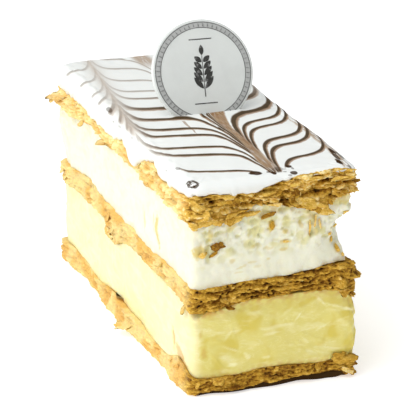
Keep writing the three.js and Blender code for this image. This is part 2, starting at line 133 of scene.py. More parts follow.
# Noise that is the same on every run.
def scrambled(i, j, k, seed):
    """A whole number for each lattice point, well mixed."""
    mixed = (i * 73856093) ^ (j * 19349663) ^ (k * 83492791) ^ (int(seed) * 2654435761)
    mixed = (mixed ^ (mixed >> 13)) * 1274126177 & 0xFFFFFFFF
    return (mixed ^ (mixed >> 16)) & 0xFFFFFFFF


def noise(x, y, z, seed=0):
    """Smooth noise from about -1 to 1 at arrays of places."""
    place = [np.asarray(part, float) for part in np.broadcast_arrays(x, y, z)]
    cell = [np.floor(part).astype(np.int64) for part in place]
    within = [part - base for part, base in zip(place, cell)]
    fade = [part**3 * (part * (part * 6 - 15) + 10) for part in within]
    total = 0.0
    for corner in np.ndindex(2, 2, 2):
        pick = scrambled(*(base + step for base, step in zip(cell, corner)), seed)
        turn = (pick & 0xFFFF) / 65536 * 2 * pi
        height = ((pick >> 16) & 0xFFFF) / 32768 - 1
        flat = np.sqrt(1 - height**2)
        slope = (flat * np.cos(turn), flat * np.sin(turn), height)
        rise = sum(part * (off - step) for part, off, step in zip(slope, within, corner))
        weight = 1.0
        for part, step in zip(fade, corner):
            weight = weight * (part if step else 1 - part)
        total = total + weight * rise
    return 1.6 * total


def lumps(place, across, up, seed):
    """Noise at places, whose lumps have a size across and up in millimetres."""
    return noise(place[..., 0] / across, place[..., 1] / across, place[..., 2] / up, seed)


def smooth(value, low, high):
    """0 below low, 1 above high, and smooth between them."""
    share = np.clip((value - low) / (high - low), 0, 1)
    return share * share * (3 - 2 * share)


def along_between(along, place):
    """How far along the outline one place is past another, the short way round."""
    return (along - place + PERIMETER / 2) % PERIMETER - PERIMETER / 2


def near(along, place, reach):
    """A bump of height 1 at a place on the outline, or at a height."""
    apart = np.abs(along - place)
    return np.exp(-((np.minimum(apart, PERIMETER - apart) / reach) ** 2))


def marked(height, marks):
    """How strongly soft-edged marks show at each point of a wall."""
    share = np.zeros(height.shape)
    ragged = 0.4 * noise(ALONG / 1.2, height / 0.9, 0.2, 58)
    for along, level, half_along, half_up, slant, strength in marks:
        apart, rise = along_between(ALONG, along), height - level
        across = (apart * cos(slant) + rise * sin(slant)) / half_along
        up = (rise * cos(slant) - apart * sin(slant)) / half_up
        share = np.maximum(share, strength * smooth(ragged - np.hypot(across, up), -1.35, -0.6))
    return share


class Outline:
    """The slice's outline: rays that start in its level middle and point out of its sides."""

    def __init__(self):
        corners = np.array(((-1, -1), (1, -1), (1, 1), (-1, 1))) * (WIDTH / 2, LENGTH / 2)
        sides = zip(SIDE_STEPS.values(), (WIDTH, LENGTH, WIDTH, LENGTH))
        square, along, start = [], [], 0.0
        for side, (steps, length) in enumerate(sides):
            share = (np.arange(steps) + 0.5) / steps
            first, last = corners[side], corners[(side + 1) % 4]
            square.append(first + (last - first) * share[:, None])
            along.append(start + share * length)
            start += length
        square = np.concatenate(square)
        inward = RIM_DEPTH + MIDDLE_ROUND
        limit = np.array((WIDTH / 2 - inward, LENGTH / 2 - inward))
        self.core = np.clip(square, -limit, limit)
        outward = square - self.core
        self.outward = outward / np.linalg.norm(outward, axis=1)[:, None]
        spread = (np.abs(self.outward) ** CORNER_SQUARENESS).sum(1)
        reach = inward / spread ** (1 / CORNER_SQUARENESS)
        self.rounded = self.core + self.outward * reach[:, None]
        self.along = np.concatenate(along)
        self.count = len(self.along)
        self.edge = self.core + self.outward * MIDDLE_ROUND
        self.spine = self.edge * SPINE_SHARE

    def ring(self, out, height):
        """Points a given way out of the outline at given heights, in one row or in many."""
        shape = np.broadcast_shapes(np.shape(out), np.shape(height), (self.count,))
        plan = self.rounded + self.outward * np.broadcast_to(out, shape)[..., None]
        return np.concatenate((plan, np.broadcast_to(height, shape)[..., None]), axis=-1)

    def inner_ring(self, share, height):
        """Points between the level middle's edge and its spine."""
        plan = self.edge + (self.spine - self.edge) * share
        return np.column_stack((plan, np.broadcast_to(height, self.count)))

    def blurred(self, values, columns):
        """Values along the outline, smoothed over a number of columns."""
        reach = int(3 * columns)
        weights = np.exp(-((np.arange(-reach, reach + 1) / columns) ** 2))
        padded = np.concatenate((values[-reach:], values, values[:reach]))
        return np.convolve(padded, weights / weights.sum(), "valid")


OUTLINE = Outline()
ALONG = OUTLINE.along


def nearest_column(along):
    return int(np.argmin(abs(ALONG - along % PERIMETER)))


def skin_of(piece):
    """A piece's faces in the slice's own millimetres, for rays to meet."""
    places = [tuple(np.array(v.co) / MM - MIDDLE) for v in piece.data.vertices]
    return BVHTree.FromPolygons(places, [tuple(p.vertices) for p in piece.data.polygons])


def met(skin, start, direction):
    """Where a ray meets a skin, or nothing."""
    hit = skin.ray_cast(Vector(start), Vector(direction))[0]
    return None if hit is None else np.array(hit)


def filled(values):
    """Values with each gap filled from its neighbours."""
    known = [n for n, value in enumerate(values) if value is not None]
    return np.interp(np.arange(len(values)), known, [values[n] for n in known])


class Wall:
    """A layer's wall as its solid has it: its foot, its head, and how far out it stands."""

    # Rays measure it at these shares of its height and ways out, and start this far off.
    SHARES = np.linspace(0.08, 0.92, 9)
    INSETS = (-1.5, -3.0)
    FAR = 30.0

    def __init__(self, node, blur=9):
        self.skin = skin_of(frame["nodes"][node])
        self.low, self.floor = self.edge(1, blur)
        self.high, self.roof = self.edge(-1, blur)
        self.rows = np.array([OUTLINE.blurred(self.stand(share), blur) for share in self.SHARES])

    def edge(self, up, blur):
        """The height of the foot or the head along the outline, and that of the middle."""
        far = -up * self.FAR + (ICING_TOP if up < 0 else 0)
        heights = []
        for inset in self.INSETS:
            hits = [met(self.skin, start, (0, 0, up)) for start in OUTLINE.ring(inset, far)]
            heights.append(filled([None if hit is None else hit[2] for hit in hits]))
        first, second = heights
        slope = (first - second) / (self.INSETS[0] - self.INSETS[1])
        level = met(self.skin, (WIDTH / 4, LENGTH / 4, far), (0, 0, up))[2]
        return OUTLINE.blurred(first - slope * self.INSETS[0], blur), level

    def stand(self, share):
        starts = OUTLINE.ring(self.FAR, self.low + (self.high - self.low) * share)
        found = []
        for start, outward, rounded in zip(starts, OUTLINE.outward, OUTLINE.rounded):
            hit = met(self.skin, start, (*-outward, 0))
            found.append(None if hit is None else float((hit[:2] - rounded) @ outward))
        return filled(found)

    def out(self, share):
        """How far the wall stands out at each share of its height, one row for each."""
        place = (np.asarray(share) - self.SHARES[0]) / (self.SHARES[1] - self.SHARES[0])
        place = np.clip(place, 0, len(self.SHARES) - 1.001)
        row = place.astype(int)
        part = (place - row)[:, None]
        return self.rows[row] * (1 - part) + self.rows[row + 1] * part

    def grid(self, rows, foot=0.0, head=0.0):
        """How far out and how high each point of the wall is. Foot and head reach further."""
        share = np.linspace(0, 1, rows)
        low, high = self.low - foot, self.high + head
        return self.out(share), low + (high - low) * share[:, None]

    def closed(self, out, height, inner=1):
        """The rings of a whole slab whose wall has these rows, with inner rings in its roof."""
        floor = self.cap(out[0], height[0], self.floor, -1, 1)
        roof = self.cap(out[-1], height[-1], self.roof, 1, inner)
        return [*floor[::-1], *OUTLINE.ring(out, height), *roof]

    def cap(self, out, height, level, up, inner):
        """The rings of a roof or a floor, from its wall to its spine."""
        rings = []
        for inset in RIM_INSETS:
            share = inset / RIM_DEPTH
            wave = up * 0.25 * noise(*(OUTLINE.rounded.T / 3), inset, 5)
            rise = height * (1 - share) + level * share + wave
            rings.append(OUTLINE.ring(out * (1 - share) - inset, rise))
        return rings + [OUTLINE.inner_ring(n / inner, level) for n in range(inner + 1)]

    @staticmethod
    def over(values, below=0.0, above=0.0):
        """A value for each point of a slab: its floor's, those of its wall, and its roof's."""
        cap = np.ones((len(RIM_INSETS) + 2, OUTLINE.count))
        return np.concatenate((below * cap, values, above * cap)).ravel()


# Meshes and pieces.
def placed(name, data):
    """An object in the scene."""
    thing = bpy.data.objects.new(name, data)
    bpy.context.scene.collection.objects.link(thing)
    return thing


def new_mesh(name, places, faces):
    """A mesh from places in millimetres."""
    mesh = bpy.data.meshes.new(name)
    mesh.from_pydata((np.asarray(places) * MM).tolist(), [], faces)
    return mesh


def mesh_object(name, places, faces, finish, attributes=()):
    """A smooth mesh from places in the slice's own millimetres, put where the slice is."""
    mesh = new_mesh(name, np.asarray(places) + MIDDLE, faces)
    for label, values in dict(attributes).items():
        layer = mesh.attributes.new(label, "FLOAT", "POINT")
        layer.data.foreach_set("value", np.asarray(values, np.float32))
    mesh.materials.append(finish)
    mesh.shade_smooth()
    mesh.update()
    return placed(name, mesh)


def slab(name, rings, finish, attributes=()):
    """A closed body through rings that run from its floor's middle, round its wall, to its roof."""
    count = OUTLINE.count
    places = np.concatenate(rings)
    first = np.arange(count)
    after = (first + 1) % count
    faces = [first[::-1].tolist()]
    for row in range(len(rings) - 1):
        low, high = row * count, (row + 1) * count
        strip = np.column_stack((low + first, low + after, high + after, high + first))
        faces += strip.tolist()
    faces.append((first + (len(rings) - 1) * count).tolist())
    return mesh_object(name, places, faces, finish, attributes)


def declare(piece, slot, *nodes):
    """Sets a finished piece in the frame."""
    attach(piece, "root")
    if nodes:
        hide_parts(*nodes)


def linear(colour):
    """A colour as Blender works with it, from the 0 to 255 that a picture shows."""
    parts = [part / 255 for part in colour]
    return tuple(p / 12.92 if p <= 0.04045 else ((p + 0.055) / 1.055) ** 2.4 for p in parts)


# Node trees.
class Value:
    """A number on a node's output, with Python's operators."""

    def __init__(self, nodes, socket):
        self.nodes = nodes
        self.socket = socket

    def math(self, operation, *others, swapped=False):
        operands = [self, *others]
        if swapped:
            operands.reverse()
        return self.nodes.add("ShaderNodeMath", {"operation": operation}, dict(enumerate(operands)))

    __add__ = __radd__ = partialmethod(math, "ADD")
    __sub__ = partialmethod(math, "SUBTRACT")
    __rsub__ = partialmethod(math, "SUBTRACT", swapped=True)
    __mul__ = __rmul__ = partialmethod(math, "MULTIPLY")
    __truediv__ = partialmethod(math, "DIVIDE")
    __abs__ = partialmethod(math, "ABSOLUTE")
    larger = partialmethod(math, "MAXIMUM")
    smaller = partialmethod(math, "MINIMUM")
    exp = partialmethod(math, "EXPONENT")

    def fading(self, rate):
        """1 at 0, falling away on both sides at a rate for each millimetre."""
        return (abs(self) * (rate * -1)).exp()

    def smooth(self, low, high):
        """0 at low, 1 at high and smooth between them. High may be the smaller one."""
        if low > high:
            return 1 - self.smooth(high, low)
        settings = {"interpolation_type": "SMOOTHSTEP"}
        sockets = {"Value": self, "From Min": low, "From Max": high}
        return self.nodes.add("ShaderNodeMapRange", settings, sockets)


class Nodes:
    """A node tree under construction. One method adds any node."""

    def __init__(self, tree):
        self.tree = tree

    def add(self, kind, settings=None, sockets=None, output=0):
        """A node of a kind: its settings first, then its sockets' values or links."""
        node = self.tree.nodes.new(kind)
        for name, setting in (settings or {}).items():
            if name == "stops":
                self.set_stops(node.color_ramp, setting)
            else:
                setattr(node, name, setting)
        for name, given in (sockets or {}).items():
            socket = node.inputs[name]
            if isinstance(given, Value):
                self.tree.links.new(given.socket, socket)
            else:
                socket.default_value = given
        return Value(self, node.outputs[output]) if node.outputs else node

    @staticmethod
    def set_stops(ramp, stops):
        while len(ramp.elements) < len(stops):
            ramp.elements.new(0.5)
        for element, (place, colour) in zip(ramp.elements, stops):
            element.position = place
            element.color = (*tuple(colour)[:3], 1.0)


class Finish(Nodes):
    """A material under construction."""

    def __init__(self, name):
        self.material = bpy.data.materials.new(name)
        self.material.use_nodes = True
        super().__init__(self.material.node_tree)
        self.tree.nodes.clear()

    def place(self, scale=(1, 1, 1), origin=(0, 0, 0), turn=(0, 0, 0)):
        """Object coordinates in millimetres from a place in the slice, turned and scaled."""
        found = self.add("ShaderNodeTexCoord", output="Object")
        start = tuple((MIDDLE + origin) * MM)
        centred = self.add("ShaderNodeVectorMath", {"operation": "SUBTRACT"}, {0: found, 1: start})
        sockets = {"Vector": centred, "Scale": tuple(part / MM for part in scale), "Rotation": turn}
        return self.add("ShaderNodeMapping", {"vector_type": "POINT"}, sockets)

    def parts(self, vector):
        """The three numbers in a vector."""
        return [self.add("ShaderNodeSeparateXYZ", None, {0: vector}, part) for part in "XYZ"]

    def noise(self, place, size, detail=3.0, roughness=0.55, distortion=0.0):
        """Noise from 0 to 1 whose lumps are about a size in millimetres."""
        sockets = {"Vector": place, "Scale": 1 / size, "Detail": detail}
        sockets |= {"Roughness": roughness, "Distortion": distortion}
        return self.add("ShaderNodeTexNoise", None, sockets)

    def attribute(self, name):
        return self.add("ShaderNodeAttribute", {"attribute_name": name}, output="Fac")

    def ramp(self, value, stops):
        return self.add("ShaderNodeValToRGB", {"stops": stops}, {"Fac": value})

    def mix(self, share, first, second):
        """A colour between two, each a link or a linear colour."""
        colours = [c if isinstance(c, Value) else (*tuple(c)[:3], 1.0) for c in (first, second)]
        settings = {"data_type": "RGBA", "clamp_factor": True}
        return self.add("ShaderNodeMix", settings, {0: share, 6: colours[0], 7: colours[1]}, 2)

    def bump(self, height, depth, strength):
        """A bump whose height runs from 0 to 1 over a depth in millimetres."""
        sockets = {"Height": height, "Distance": depth * MM, "Strength": strength}
        return self.add("ShaderNodeBump", None, sockets)

    def surface(self, colour, roughness, under=None, **others):
        """A Principled surface. Under is how much light it scatters, how far, in which colours."""
        sockets = {"Base Color": colour, "Roughness": roughness}
        sockets |= {name.replace("_", " "): given for name, given in others.items()}
        if under:
            weight, reach, radius = under
            sockets |= {"Subsurface Weight": weight, "Subsurface Scale": reach * MM}
            sockets["Subsurface Radius"] = radius
        shader = self.add("ShaderNodeBsdfPrincipled", None, sockets)
        self.add("ShaderNodeOutputMaterial", None, {"Surface": shader})
        return self.material


class Growth(Nodes):
    """A Geometry Nodes tree under construction, whose named inputs are made for their values."""

    KINDS = {
        bpy.types.Collection: "NodeSocketCollection",
        bpy.types.Material: "NodeSocketMaterial",
        float: "NodeSocketFloat",
        int: "NodeSocketInt",
        tuple: "NodeSocketVector",
    }
    # A random value's first socket and its output.
    RANDOM = {"FLOAT": (2, 1), "FLOAT_VECTOR": (0, 0)}

    def __init__(self, name, values):
        super().__init__(bpy.data.node_groups.new(name, "GeometryNodeTree"))
        self.values = values
        new_socket = self.tree.interface.new_socket
        new_socket("Geometry", in_out="INPUT", socket_type="NodeSocketGeometry")
        new_socket("Geometry", in_out="OUTPUT", socket_type="NodeSocketGeometry")
        for label, value in values.items():
            new_socket(label, in_out="INPUT", socket_type=self.KINDS[type(value)])
        self.entry = self.tree.nodes.new("NodeGroupInput")

    def given(self, label):
        return Value(self, self.entry.outputs[label])

    def random(self, kind, quality, salt):
        """A random value for each point between a quality's least and most."""
        first, output = self.RANDOM[kind]
        sockets = {first: self.given("Least " + quality), first + 1: self.given("Most " + quality)}
        sockets[8] = self.given("Seed") + salt
        return self.add("FunctionNodeRandomValue", {"data_type": kind}, sockets, output)

    def turned(self, rotation, by):
        settings = {"rotation_space": "LOCAL"}
        return self.add("FunctionNodeRotateRotation", settings, {0: rotation, 1: by})

    def grown(self, geometry, name, base):
        """The plain mesh that the tree makes from a base object, which is then removed."""
        real = self.add("GeometryNodeRealizeInstances", None, {0: geometry})
        sockets = {0: real, "Material": self.given("Finish")}
        dressed = self.add("GeometryNodeSetMaterial", None, sockets)
        self.add("NodeGroupOutput", None, {0: dressed})
        modifier = base.modifiers.new(name, "NODES")
        modifier.node_group = self.tree
        for item in self.tree.interface.items_tree:
            if item.name in self.values:
                modifier[item.identifier] = self.values[item.name]
        evaluated = base.evaluated_get(bpy.context.evaluated_depsgraph_get())
        mesh = bpy.data.meshes.new_from_object(evaluated)
        mesh.name = name
        bpy.data.objects.remove(base)
        return mesh


# Settings.
def length(name, description, size):
    """A property for a size, whose default is in millimetres."""
    return FloatProperty(
        name=name, description=description, default=size * MM, subtype="DISTANCE", unit="LENGTH"
    )


def colour(name, description, *shown):
    """A property for a colour, whose default is in the 0 to 255 that a picture shows."""
    return FloatVectorProperty(
        name=name, description=description, default=linear(shown), subtype="COLOR", min=0, max=1
    )


def count(name, description, default):
    return IntProperty(name=name, description=description, default=default, min=0)


def amount(name, description, default):
    return FloatProperty(name=name, description=description, default=default, min=0)


def angle(name, description, degrees):
    return FloatProperty(
        name=name, description=description, default=radians(degrees), subtype="ANGLE"
    )


class PastrySettings(bpy.types.PropertyGroup):
    """Baked puff pastry."""

    leaf: length("Leaf", "Height of one baked leaf", 1.1)
    rag: length("Rag", "How far the torn edges of leaves stand in and out", 0.9)
    groove: length("Groove", "Depth of the gaps between leaves", 1.5)
    flake: length("Flake", "Length of a loose flake", 3.0)
    top_flakes: amount("Top flakes", "Flakes for each square centimetre of the top layer", 9)
    lower_flakes: amount("Lower flakes", "Flakes for each square centimetre lower down", 4)
    # Toast is partly painted shade deep between the leaves, where the bake is lowest.
    toast: colour("Toast", "Darkest bake, deep between the leaves", 58, 36, 4)
    crust: colour("Crust", "Brown bake", 130, 86, 20)
    gold: colour("Gold", "Golden bake", 194, 150, 50)
    crumb: colour("Crumb", "Light bake on the leaves' edges", 230, 190, 92)
    pale: colour("Pale", "Least baked flakes", 246, 226, 164)
    # Pale and tan on the left side are painted highlight of its lit face; the patches between them
    # are real tone.
    tan: colour("Tan", "Patches on the smooth left side", 232, 188, 114)


class CreamSettings(bpy.types.PropertyGroup):
    """The two creams."""

    lump: length("Lump", "How far whipped cream bulges between its soft hollows", 0.45)
    pit: length("Pit", "Depth of the holes torn in the whipped cream", 0.7)
    wave: length("Wave", "How far the custard's cut face waves", 0.35)
    cream: colour("Whipped cream", "Whipped cream", 233, 232, 211)
    # The hollow colour is clearer cream in patches and, in the torn holes, also painted shade.
    hollow: colour("Hollow", "Whipped cream where it is clearer", 214, 207, 140)
    custard: colour("Custard", "Set custard", 219, 207, 118)
    deep: colour("Deep custard", "Custard where it is thick and clear", 212, 194, 84)
    smear: colour("Smear", "Paler custard smeared by the knife", 240, 234, 182)
    stain: colour("Stain", "Crumbs worked into the whipped cream", 210, 186, 84)
    caramel: colour("Caramel", "Crumbs and syrup on the custard", 192, 134, 50)


class IcingSettings(bpy.types.PropertyGroup):
    """Poured fondant icing and its feathering."""

    line: length("Line", "Width of a feathered line", 1.9)
    pull_side: length("Side pull", "How far lines are dragged back near both sides", 15.1)
    pull_middle: length("Middle pull", "How far lines are dragged forward in the middle", 38.5)
    ridge: length("Ridge", "Height of the ridge of icing around the plaque's foot", 0.45)
    icing: colour("Icing", "Fondant icing", 240, 243, 240)
    # The thin icing colour is painted shade low on the lip, partly thin icing over the pastry.
    thin: colour("Thin icing", "Icing where it runs thin over the pastry", 214, 210, 198)
    ink: colour("Line colour", "Dark chocolate of the lines", 78, 62, 42)
    fringe: colour("Fringe", "Brown fringe of a line", 146, 106, 62)
    blot: colour("Blot", "Chocolate where it is thickest", 58, 34, 2)
    spine: colour("Spine", "Chocolate smeared thin along a drag", 172, 146, 114)


class PlaqueSettings(bpy.types.PropertyGroup):
    """The round plaque stood in the icing."""

    ring: length("Ring", "Outer diameter of the printed ring", 30.3)
    ring_width: length("Ring width", "Width of the printed ring", 1.9)
    beads: count("Beads", "Links in the printed ring", 60)
    leaves: count("Leaves", "Pairs of leaves on the printed sprig", 5)
    face: colour("Face", "Moulded white face", 222, 226, 223)
    print_pale: colour("Pale print", "Band of the printed ring", 182, 184, 182)
    print_grey: colour("Grey print", "Lines and beads of the printed ring", 108, 110, 108)
    print_dark: colour("Dark print", "Print of the sprig", 48, 48, 45)


class StageSettings(bpy.types.PropertyGroup):
    """Floor, lights and camera."""

    floor: length("Floor", "Width of the floor", 4000)
    key: amount("Key light", "Power of the large soft light at the left, in watts", 21.5)
    fill: amount("Fill light", "Power of the soft light at the front, in watts", 0.3)
    sky: amount("Sky", "Strength of the even white light from all round", 0.44)
    glow: amount("Glow", "White that the floor adds of its own", 0.5)
    camera_turn: angle("Camera turn", "How far to the left of the front the camera stands", 19.8)
    camera_rise: angle("Camera rise", "How far above level the camera stands", 20.0)
    camera_lens: FloatProperty(
        name="Lens",
        description="Focal length of the camera in millimetres",
        default=240.97,
        subtype="DISTANCE_CAMERA",
    )


SETTINGS = {
    "slice_pastry": PastrySettings,
    "slice_creams": CreamSettings,
    "slice_icing": IcingSettings,
    "slice_plaque": PlaqueSettings,
    "slice_stage": StageSettings,
}


# Puff pastry.
# What sets each layer apart: a seed, the rows in its wall, the height of its leaves, how torn they
# are, how deep its cavities and pores go, and its bake.
Layer = namedtuple("Layer", "seed rows leaf rag cavity pores bake")
LAYERS = {
    "bottom_pastry": Layer(11, 36, 0.8, 0.45, 0.4, 0.35, 0.5),
    "middle_pastry": Layer(23, 48, 0.9, 0.6, 0.8, 0.7, 0.56),
    "top_pastry": Layer(37, 50, 1.1, 1.0, 1.9, 0.3, 0.82),
}
# Along the outline, height, half along, half up, slant and depth of the long dark crevices, whose
# dark is partly painted shade.
CREVICES = {
    "bottom_pastry": (),
    "middle_pastry": (
        (29.9, 33.5, 1.5, 0.9, 0.0, 1.0),
        (39.5, 34.0, 2.0, 0.4, 0.2, 0.8),
        (16.0, 29.4, 2.2, 0.45, 0.1, 0.7),
        (9.5, 29.4, 2.8, 0.5, 0.0, 0.7),
        (24.0, 30.4, 2.2, 0.45, 0.1, 0.6),
        (35.0, 30.8, 2.0, 0.45, 0.1, 0.6),
    ),
    "top_pastry": (
        (4.6, 59.4, 2.4, 0.45, 0.1, 1.0),
        (14.3, 58.6, 2.4, 0.4, 0.1, 0.8),
        (15.3, 60.8, 2.0, 0.35, 0.05, 0.9),
        (28.6, 56.7, 2.4, 1.2, 0.0, 1.0),
        (32.0, 59.4, 7.0, 0.35, 0.03, 0.8),
        (41.6, 58.6, 7.2, 0.5, 0.12, 0.9),
        (41.0, 61.0, 5.0, 0.35, 0.15, 0.7),
        (20.5, 57.2, 3.0, 0.35, 0.1, 0.7),
    ),
}
# The middle and the reach along the front of the top layer's raised edge and of the bottom layer's
# curled corner, and how far they reach past the solid.
RAISED_EDGE, RAISED_BY = (40, 11), 1.7
CURLED_CORNER, CURLED_BY = (49.5, 2.6), 2.4


def torn(place, layer, settings):
    """How far leaves stand out at places on a wall, how much they sag, and their bake, which is
    darker in the gaps partly as painted shade.
    """
    x, y, z = np.moveaxis(place, -1, 0)
    seed = layer.seed
    wander = 0.9 * lumps(place, 13, 9, seed) + 0.4 * lumps(place, 4, 2.5, seed + 1)
    level = z / (settings.leaf / MM * layer.leaf) + wander
    leaf = np.floor(level)
    within = level - leaf
    tear = noise(x / 7, y / 7, leaf * 5.3, seed + 2)
    tear = tear + 0.8 * np.tanh(5 * noise(x / 2.4, y / 2.4, leaf * 5.3, seed + 3))
    body = np.sqrt(np.clip(1 - np.abs(2 * within - 1) ** 2.6, 0, 1))
    open_gap = np.maximum(0.55 + 0.6 * lumps(place, 5, 2, seed + 4), 0.1)
    groove = settings.groove / MM * layer.rag * open_gap * (1 - body)
    cavity = layer.cavity * smooth(lumps(place, 6, 1.6, seed + 5), 0.22, 0.6)
    pores = layer.pores * smooth(lumps(place, 1.4, 1.0, seed + 6), 0.25, 0.6)
    chips = np.tanh(4 * lumps(place, 1.3, 0.7, seed + 10))
    fine = lumps(place, 0.9, 0.7, seed + 7) + lumps(place, 0.45, 0.35, seed + 8) / 2
    rag = settings.rag / MM * layer.rag * tear * body
    soft = 1 - 0.45 * smooth(-x, WIDTH / 2 - 4, WIDTH / 2 - 1)
    out = (rag - groove - cavity - pores + (0.16 * fine + 0.22 * chips)) * soft
    tone = noise(x / 9, y / 9, leaf * 7.7, seed + 9)
    # The bake is paler where leaves stand out and darker in the grooves, cavities and pores: partly
    # real browning, partly painted shade in the hollows.
    bake = layer.bake + 0.2 * rag + 0.16 * tone + 0.1 * chips
    bake = bake - 0.36 * groove - 0.22 * cavity - 0.6 * pores
    sag = 0.35 * np.maximum(out, 0)
    return out, sag, np.clip(bake, 0, 1)


def on_front(along):
    """1 on the front side and 0 elsewhere."""
    return smooth(along, 0.5, 3) * (1 - smooth(along, 46, 48))


def painted_foot_shadow(height):
    """Where the painted shadow under the bottom layer shows, as a dark recessed strip at its foot,
    and how much of that is at the front.
    """
    share = on_front(ALONG) + 0 * height
    top = 0.2 + share * (0.4 + 1.6 * ALONG / 45 + 0.2 * noise(ALONG / 3, 0, 0, 8))
    return 1 - smooth(height, top - 0.1, top + 0.15), share


def pastry_layer(node, settings, finish):
    """A layer of pastry as one closed slab whose wall is torn into leaves."""
    layer = LAYERS[node]
    wall = Wall(node)
    lowest, highest = node == "bottom_pastry", node == "top_pastry"
    curled = CURLED_BY * near(ALONG, *CURLED_CORNER)
    foot = wall.low * on_front(ALONG) - curled if lowest else 0
    raised = near(ALONG, *RAISED_EDGE) * highest
    out, height = wall.grid(layer.rows, foot, RAISED_BY * raised)
    push, sag, bake = torn(OUTLINE.ring(out, height), layer, settings)
    crevice = marked(height, CREVICES[node])
    lip = raised * smooth(height, wall.high - 1.2, wall.high + 0.2)
    out, height = out + push - 1.1 * crevice + 1.3 * lip, height - sag
    # Crevices are cut in and darkened: painted shade in the recess, with some real browning.
    bake = np.clip(bake - 0.4 * crevice + 0.15 * lip, 0, 1)
    clumps = smooth(lumps(OUTLINE.ring(out, height), 6, 3, layer.seed + 12), -0.15, 0.45)
    loose = clumps * (1 - 0.6 * smooth(ALONG, right(LENGTH), left(LENGTH)))
    if lowest:
        # Painted shadow: a recessed strip along the foot, darkest at the front, stands for the
        # shade where the slice meets the floor.
        beneath, front_share = painted_foot_shadow(height)
        smooth_out = wall.grid(layer.rows)[0] - 0.4 - 0.9 * front_share
        out = out * (1 - beneath * front_share) + smooth_out * beneath * front_share
        bake = bake * (1 - beneath * (0.3 + 0.7 * front_share)) - 0.3 * beneath * front_share
        loose = loose * smooth(height, 2.5, 4)
    rings = wall.closed(out, height)
    attributes = {"bake": wall.over(bake, 0.5, 0.55), "loose": wall.over(loose)}
    piece = slab(node + "_leaves", rings, finish, attributes)
    outward = np.zeros((len(rings), OUTLINE.count, 3))
    outward[..., :2] = OUTLINE.outward
    directions = piece.data.attributes.new("outward", "FLOAT_VECTOR", "POINT")
    directions.data.foreach_set("vector", outward.ravel().astype(np.float32))
    declare(piece, "pastry", node)


def scrap(steps, size, thickness, curl, seed):
    """Places and faces of a curled scrap of leaf that lies level and starts at its root."""
    columns, rows = steps
    u, v = np.meshgrid(np.linspace(-1, 1, columns), np.linspace(-1, 1, rows))
    across = u * np.sqrt(1 - v * v / 2)
    ahead = v * np.sqrt(1 - u * u / 2)
    angle = np.arctan2(ahead, across)
    rim = np.hypot(across, ahead)
    ragged = 1 + 0.3 * rim * noise(2 * np.cos(angle), 2 * np.sin(angle), 0.5, seed)
    x = across * ragged * size[0] / 2
    y = (ahead * ragged + 0.7) * size[1] / 2
    bend = curl * ((y / size[1]) ** 2 * size[1] + 0.8 * (x / size[0]) ** 2 * size[0])
    z = bend + 0.14 * min(size) * noise(x / 1.2, y / 1.2, 0.3, seed + 1)
    half = thickness / 2 * np.sqrt(np.clip(1 - np.maximum(abs(u), abs(v)) ** 4, 0, 1))
    upper = np.stack((x, y, z + half), -1).reshape(-1, 3)
    lower = np.stack((x, y, z - half), -1).reshape(-1, 3)
    edge = (np.maximum(abs(u), abs(v)) == 1).ravel()
    under = np.arange(columns * rows)
    under[~edge] = columns * rows + np.arange((~edge).sum())
    faces = []
    for row in range(rows - 1):
        for column in range(columns - 1):
            a = row * columns + column
            quad = (a, a + 1, a + 1 + columns, a + columns)
            faces.append(quad)
            faces.append(tuple(int(under[corner]) for corner in reversed(quad)))
    return np.concatenate((upper, lower[~edge])), faces


def templates(name, makers):
    """A hidden collection of shapes for Geometry Nodes to choose from."""
    collection = bpy.data.collections.new(name)
    for number, (places, faces) in enumerate(makers):
        mesh = new_mesh(f"{name}_{number}", places, faces)
        mesh.shade_smooth()
        collection.objects.link(bpy.data.objects.new(mesh.name, mesh))
    return collection


def dropped(collection):
    """Removes a collection of templates once nothing uses it."""
    for thing in list(collection.objects):
        bpy.data.objects.remove(thing)
    bpy.data.collections.remove(collection)


def scattered(name, base, values):
    """Scraps that Geometry Nodes hang on a wall, more of them where it is loose."""
    tree = Growth("Scraps on a wall", values)
    loose = tree.add("GeometryNodeInputNamedAttribute", None, {0: "loose"})
    vectors = {"data_type": "FLOAT_VECTOR"}
    outward = tree.add("GeometryNodeInputNamedAttribute", vectors, {0: "outward"})
    sockets = {0: tree.given("Geometry"), 4: loose * tree.given("Density"), 6: tree.given("Seed")}
    points = tree.add("GeometryNodeDistributePointsOnFaces", None, sockets)
    sockets = {0: tree.given("Scraps"), 1: True, 2: True}
    shapes = tree.add("GeometryNodeCollectionInfo", None, sockets)
    axes = {"axis": "Y", "pivot_axis": "Z"}
    facing = tree.add("FunctionNodeAlignRotationToVector", axes, {2: outward})
    tilt = tree.random("FLOAT_VECTOR", "tilt", 1)
    tilted = tree.turned(facing, tree.add("FunctionNodeEulerToRotation", None, {0: tilt}))
    sockets = {0: points, 2: shapes, 3: True, 5: tilted, 6: tree.random("FLOAT", "size", 2)}
    scraps = tree.add("GeometryNodeInstanceOnPoints", None, sockets)
    each = {"data_type": "FLOAT", "domain": "INSTANCE"}
    sockets = {0: scraps, 2: "bake", 3: tree.random("FLOAT", "bake", 3)}
    baked = tree.add("GeometryNodeStoreNamedAttribute", each, sockets)
    return placed(name, tree.grown(baked, name, base))


# Finishes.
BAKE_STOPS = (0.0, 0.22, 0.5, 0.74, 0.95)


